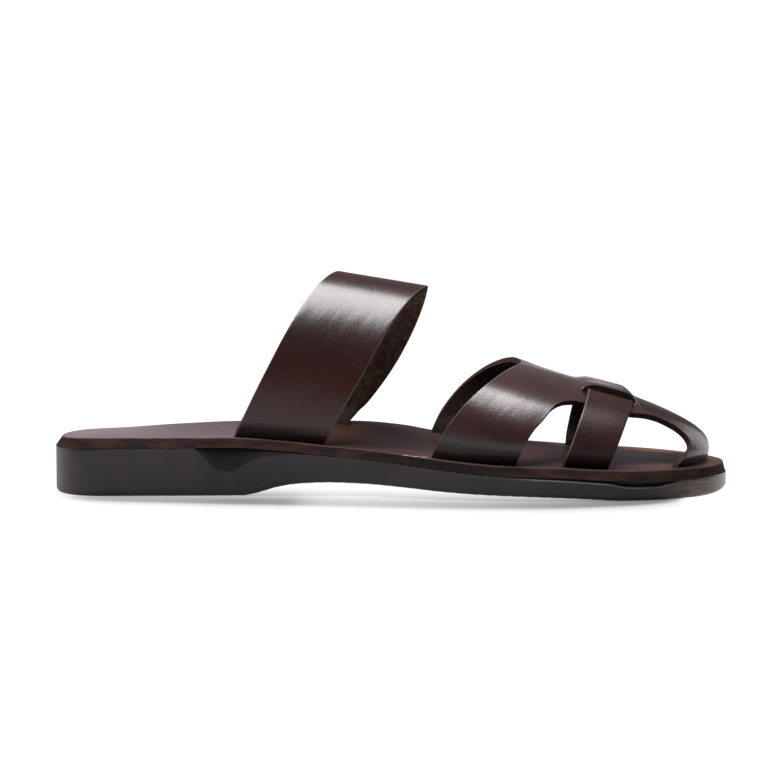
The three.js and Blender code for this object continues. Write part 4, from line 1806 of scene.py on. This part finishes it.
# Painted soft shadow on the floor: x, the y where its front lies, and how strong it is there.
SHADE = [
    (-150, -20, 0.0), (-135, -36, 0.5), (-118, -46, 1.1), (-86, -53, 1.18), (-61, -57, 1.3), (-45, -59, 1.25),
    (-25, -62.5, 0.82), (-5, -66, 0.85), (15, -69, 0.95), (35, -71, 1.05), (59, -71, 1.2), (83, -66, 1.3),
    (108, -54, 1.35), (122, -32, 0.5), (137, 0, 0.0),
]

# How much less the floor glows, by how far a point is behind that front.
SHADE_DEPTH = [
    (-30, 0.0), (-20, 0.15), (-10, 0.24), (-4, 0.36), (0, 0.53), (5, 0.68), (12, 0.68), (20, 0.58),
    (30, 0.42), (45, 0.2), (60, 0.0),
]


@dataclass(frozen=True)
class Card:
    """A card bent round the shoe, out of the camera's sight, that gives off an even light; in metres."""

    name: str
    radius: float
    low: float                    # heights of its two edges
    high: float
    start: float                  # degrees, with 0 along +X and 90 along +Y
    end: float
    strength: float
    tint: Colour = WHITE
    steps: int = 48

    def bent(self) -> bmesh.types.BMesh:
        """Bends the card.

        Returns:
            Its mesh.
        """
        mesh = bmesh.new()
        turn = math.radians(self.start)
        x, y = self.radius * math.cos(turn), self.radius * math.sin(turn)
        mesh.edges.new([mesh.verts.new((x, y, z)) for z in (self.low, self.high)])
        bmesh.ops.spin(
            mesh, geom=mesh.verts[:] + mesh.edges[:], cent=(0, 0, 0), axis=(0, 0, 1), dvec=(0, 0, 0),
            angle=math.radians(self.end - self.start), steps=self.steps, use_duplicate=False,
        )
        return mesh


@dataclass
class Studio:
    """A pale floor, one large softbox overhead, and cards and flags round the shoe; in metres."""

    floor_radius: float = 3.0
    floor_albedo: float = 0.05
    floor_glow: float = 1.02
    paper_radius: float = 8.0
    paper_glow: float = 1.15
    ambient: float = 0.28
    softbox_place: tuple[float, float, float] = (-0.16, -0.257, 1.165)
    softbox_aim: tuple[float, float, float] = (0.0, 0.0, 0.03)
    softbox_size: tuple[float, float] = (1.02, 0.90)
    softbox_watts: float = 63.0
    cards: tuple[Card, ...] = (
        Card("dark_flag", 2.2, 0.25, 2.4, -170, -10, 0.05),
        Card("pale_card", 2.6, 0.0, 0.33, 80, 185, 2.15, (1.0, 0.82, 0.94)),
        Card("shadow_flag", 1.8, 0.0, 1.0, 61, 73, 0.03),
        Card("side_card", 1.6, 0.0, 0.75, 34, 59, 1.5),
    )
    sensor: float = 36.0          # of the camera, mm
    lens: float = 110.4           # mm
    camera_place: tuple[float, float, float] = (-0.00317, -1.0, 0.120)
    camera_tilt: float = 4.33     # degrees below level

    def glow(self, name: str, strength: float, tint: Colour = WHITE) -> bpy.types.Material:
        """Makes a plain surface that gives off an even light.

        Args:
            name: the material's name.
            strength: how brightly it glows.
            tint: the colour of its light.

        Returns:
            The material.
        """
        return Recipe(name, {
            "Base Color": (0.0, 0.0, 0.0, 1.0), "Specular IOR Level": 0.0,
            "Emission Color": (*tint, 1.0), "Emission Strength": strength,
        }).material

    def stand(self, name: str, mesh: bmesh.types.BMesh, material: bpy.types.Material) -> bpy.types.Object:
        """Makes a stage object.

        Args:
            name: its name.
            mesh: its shape; it is used up.
            material: what it is made of.

        Returns:
            The object.
        """
        data = bpy.data.meshes.new(name)
        mesh.to_mesh(data)
        mesh.free()
        data.materials.append(material)
        thing = bpy.data.objects.new(name, data)
        bpy.context.scene.collection.objects.link(thing)
        return thing

    def floor(self) -> None:
        """Lays a pale matt floor that stays white far from the light, with a painted soft shadow along the
        near side of the shoe.
        """
        mesh = bmesh.new()
        bmesh.ops.create_circle(mesh, cap_ends=True, radius=self.floor_radius, segments=96)
        recipe = Recipe("pale_floor", {
            "Base Color": (self.floor_albedo,) * 3 + (1.0,), "Roughness": 1.0, "Specular IOR Level": 0.0,
            "Emission Color": (*WHITE, 1.0),
        })
        # painted shadow: it glows less along the near side of the shoe
        along, aside = recipe.place.outputs["X"], recipe.place.outputs["Y"]
        front = recipe.curve(along, [(x * MM, y * MM) for x, y, _ in SHADE])
        amount = recipe.curve(along, [(x * MM, share) for x, _, share in SHADE])
        behind = recipe.add("Math", (aside, front), operation="SUBTRACT")
        depth = recipe.curve(behind, [(y * MM, dip) for y, dip in SHADE_DEPTH])
        dip = recipe.add("Math", (depth, amount), operation="MULTIPLY")
        glow = recipe.add("Math", (self.floor_glow, dip), operation="SUBTRACT")
        recipe.feed(recipe.shader.inputs["Emission Strength"], glow)
        self.stand("floor", mesh, recipe.material)

    def dome(self) -> None:
        """Hangs white paper far behind everything, which lights nothing."""
        mesh = bmesh.new()
        bmesh.ops.create_uvsphere(mesh, u_segments=32, v_segments=16, radius=self.paper_radius)
        paper = self.stand("paper", mesh, self.glow("paper", self.paper_glow))
        paper.visible_diffuse = paper.visible_glossy = paper.visible_shadow = False
        paper.visible_transmission = paper.visible_volume_scatter = False

    def lights(self) -> None:
        """Sets up the faint light of the room, the softbox and the cards."""
        world = bpy.data.worlds.new("room")
        world.use_nodes = True
        ground = world.node_tree.nodes["Background"]
        ground.inputs["Color"].default_value = (*WHITE, 1.0)
        ground.inputs["Strength"].default_value = self.ambient
        bpy.context.scene.world = world
        lamp = bpy.data.lights.new("softbox", "AREA")
        lamp.shape = "RECTANGLE"
        lamp.size, lamp.size_y = self.softbox_size
        lamp.energy = self.softbox_watts
        softbox = bpy.data.objects.new("softbox", lamp)
        softbox.location = self.softbox_place
        aim = Vector(self.softbox_aim) - softbox.location
        softbox.rotation_euler = aim.to_track_quat("-Z", "Y").to_euler()
        softbox.visible_camera = False
        bpy.context.scene.collection.objects.link(softbox)
        for card in self.cards:
            thing = self.stand(card.name, card.bent(), self.glow(card.name, card.strength, card.tint))
            thing.visible_camera = False

    def camera(self) -> None:
        """Sets up the camera, a little above the top of the shoe and looking a little down."""
        lens = bpy.data.cameras.new("camera")
        lens.sensor_width, lens.lens = self.sensor, self.lens
        camera = bpy.data.objects.new("camera", lens)
        camera.location = self.camera_place
        camera.rotation_euler = (math.radians(90 - self.camera_tilt), 0, 0)
        bpy.context.scene.collection.objects.link(camera)
        bpy.context.scene.camera = camera

    def build(self) -> None:
        """Sets up the studio."""
        self.camera()
        self.floor()
        self.dome()
        self.lights()
        bpy.context.scene.view_settings.view_transform = "Standard"


def report(piece: bpy.types.Object) -> None:
    """Logs a piece's name, faces and box in millimetres.

    Args:
        piece: the finished object.
    """
    low = [min(v.co[i] for v in piece.data.vertices) / MM for i in range(3)]
    high = [max(v.co[i] for v in piece.data.vertices) / MM for i in range(3)]
    size = " ".join(f"{a:.1f}..{b:.1f}" for a, b in zip(low, high))
    log.info("%s: %d faces, %s mm", piece.name, len(piece.data.polygons), size)


def main() -> None:
    """Builds the studio and the shoe, piece by piece."""
    logging.basicConfig(level=logging.INFO, format="%(name)s: %(message)s")
    Studio().build()
    sole = SolePattern()
    forefoot = ForefootLast(sole)
    band, weave, vamp = InstepBand(InstepLast(sole)), WovenBand(forefoot), Vamp(forefoot)
    report(Outsole(sole).build())
    report(Footbed(sole).build([*band.ends(), *weave.ends(), *vamp.ends()]))
    for strap in (band, weave, vamp):
        report(strap.build())


if __name__ == "__main__":
    main()
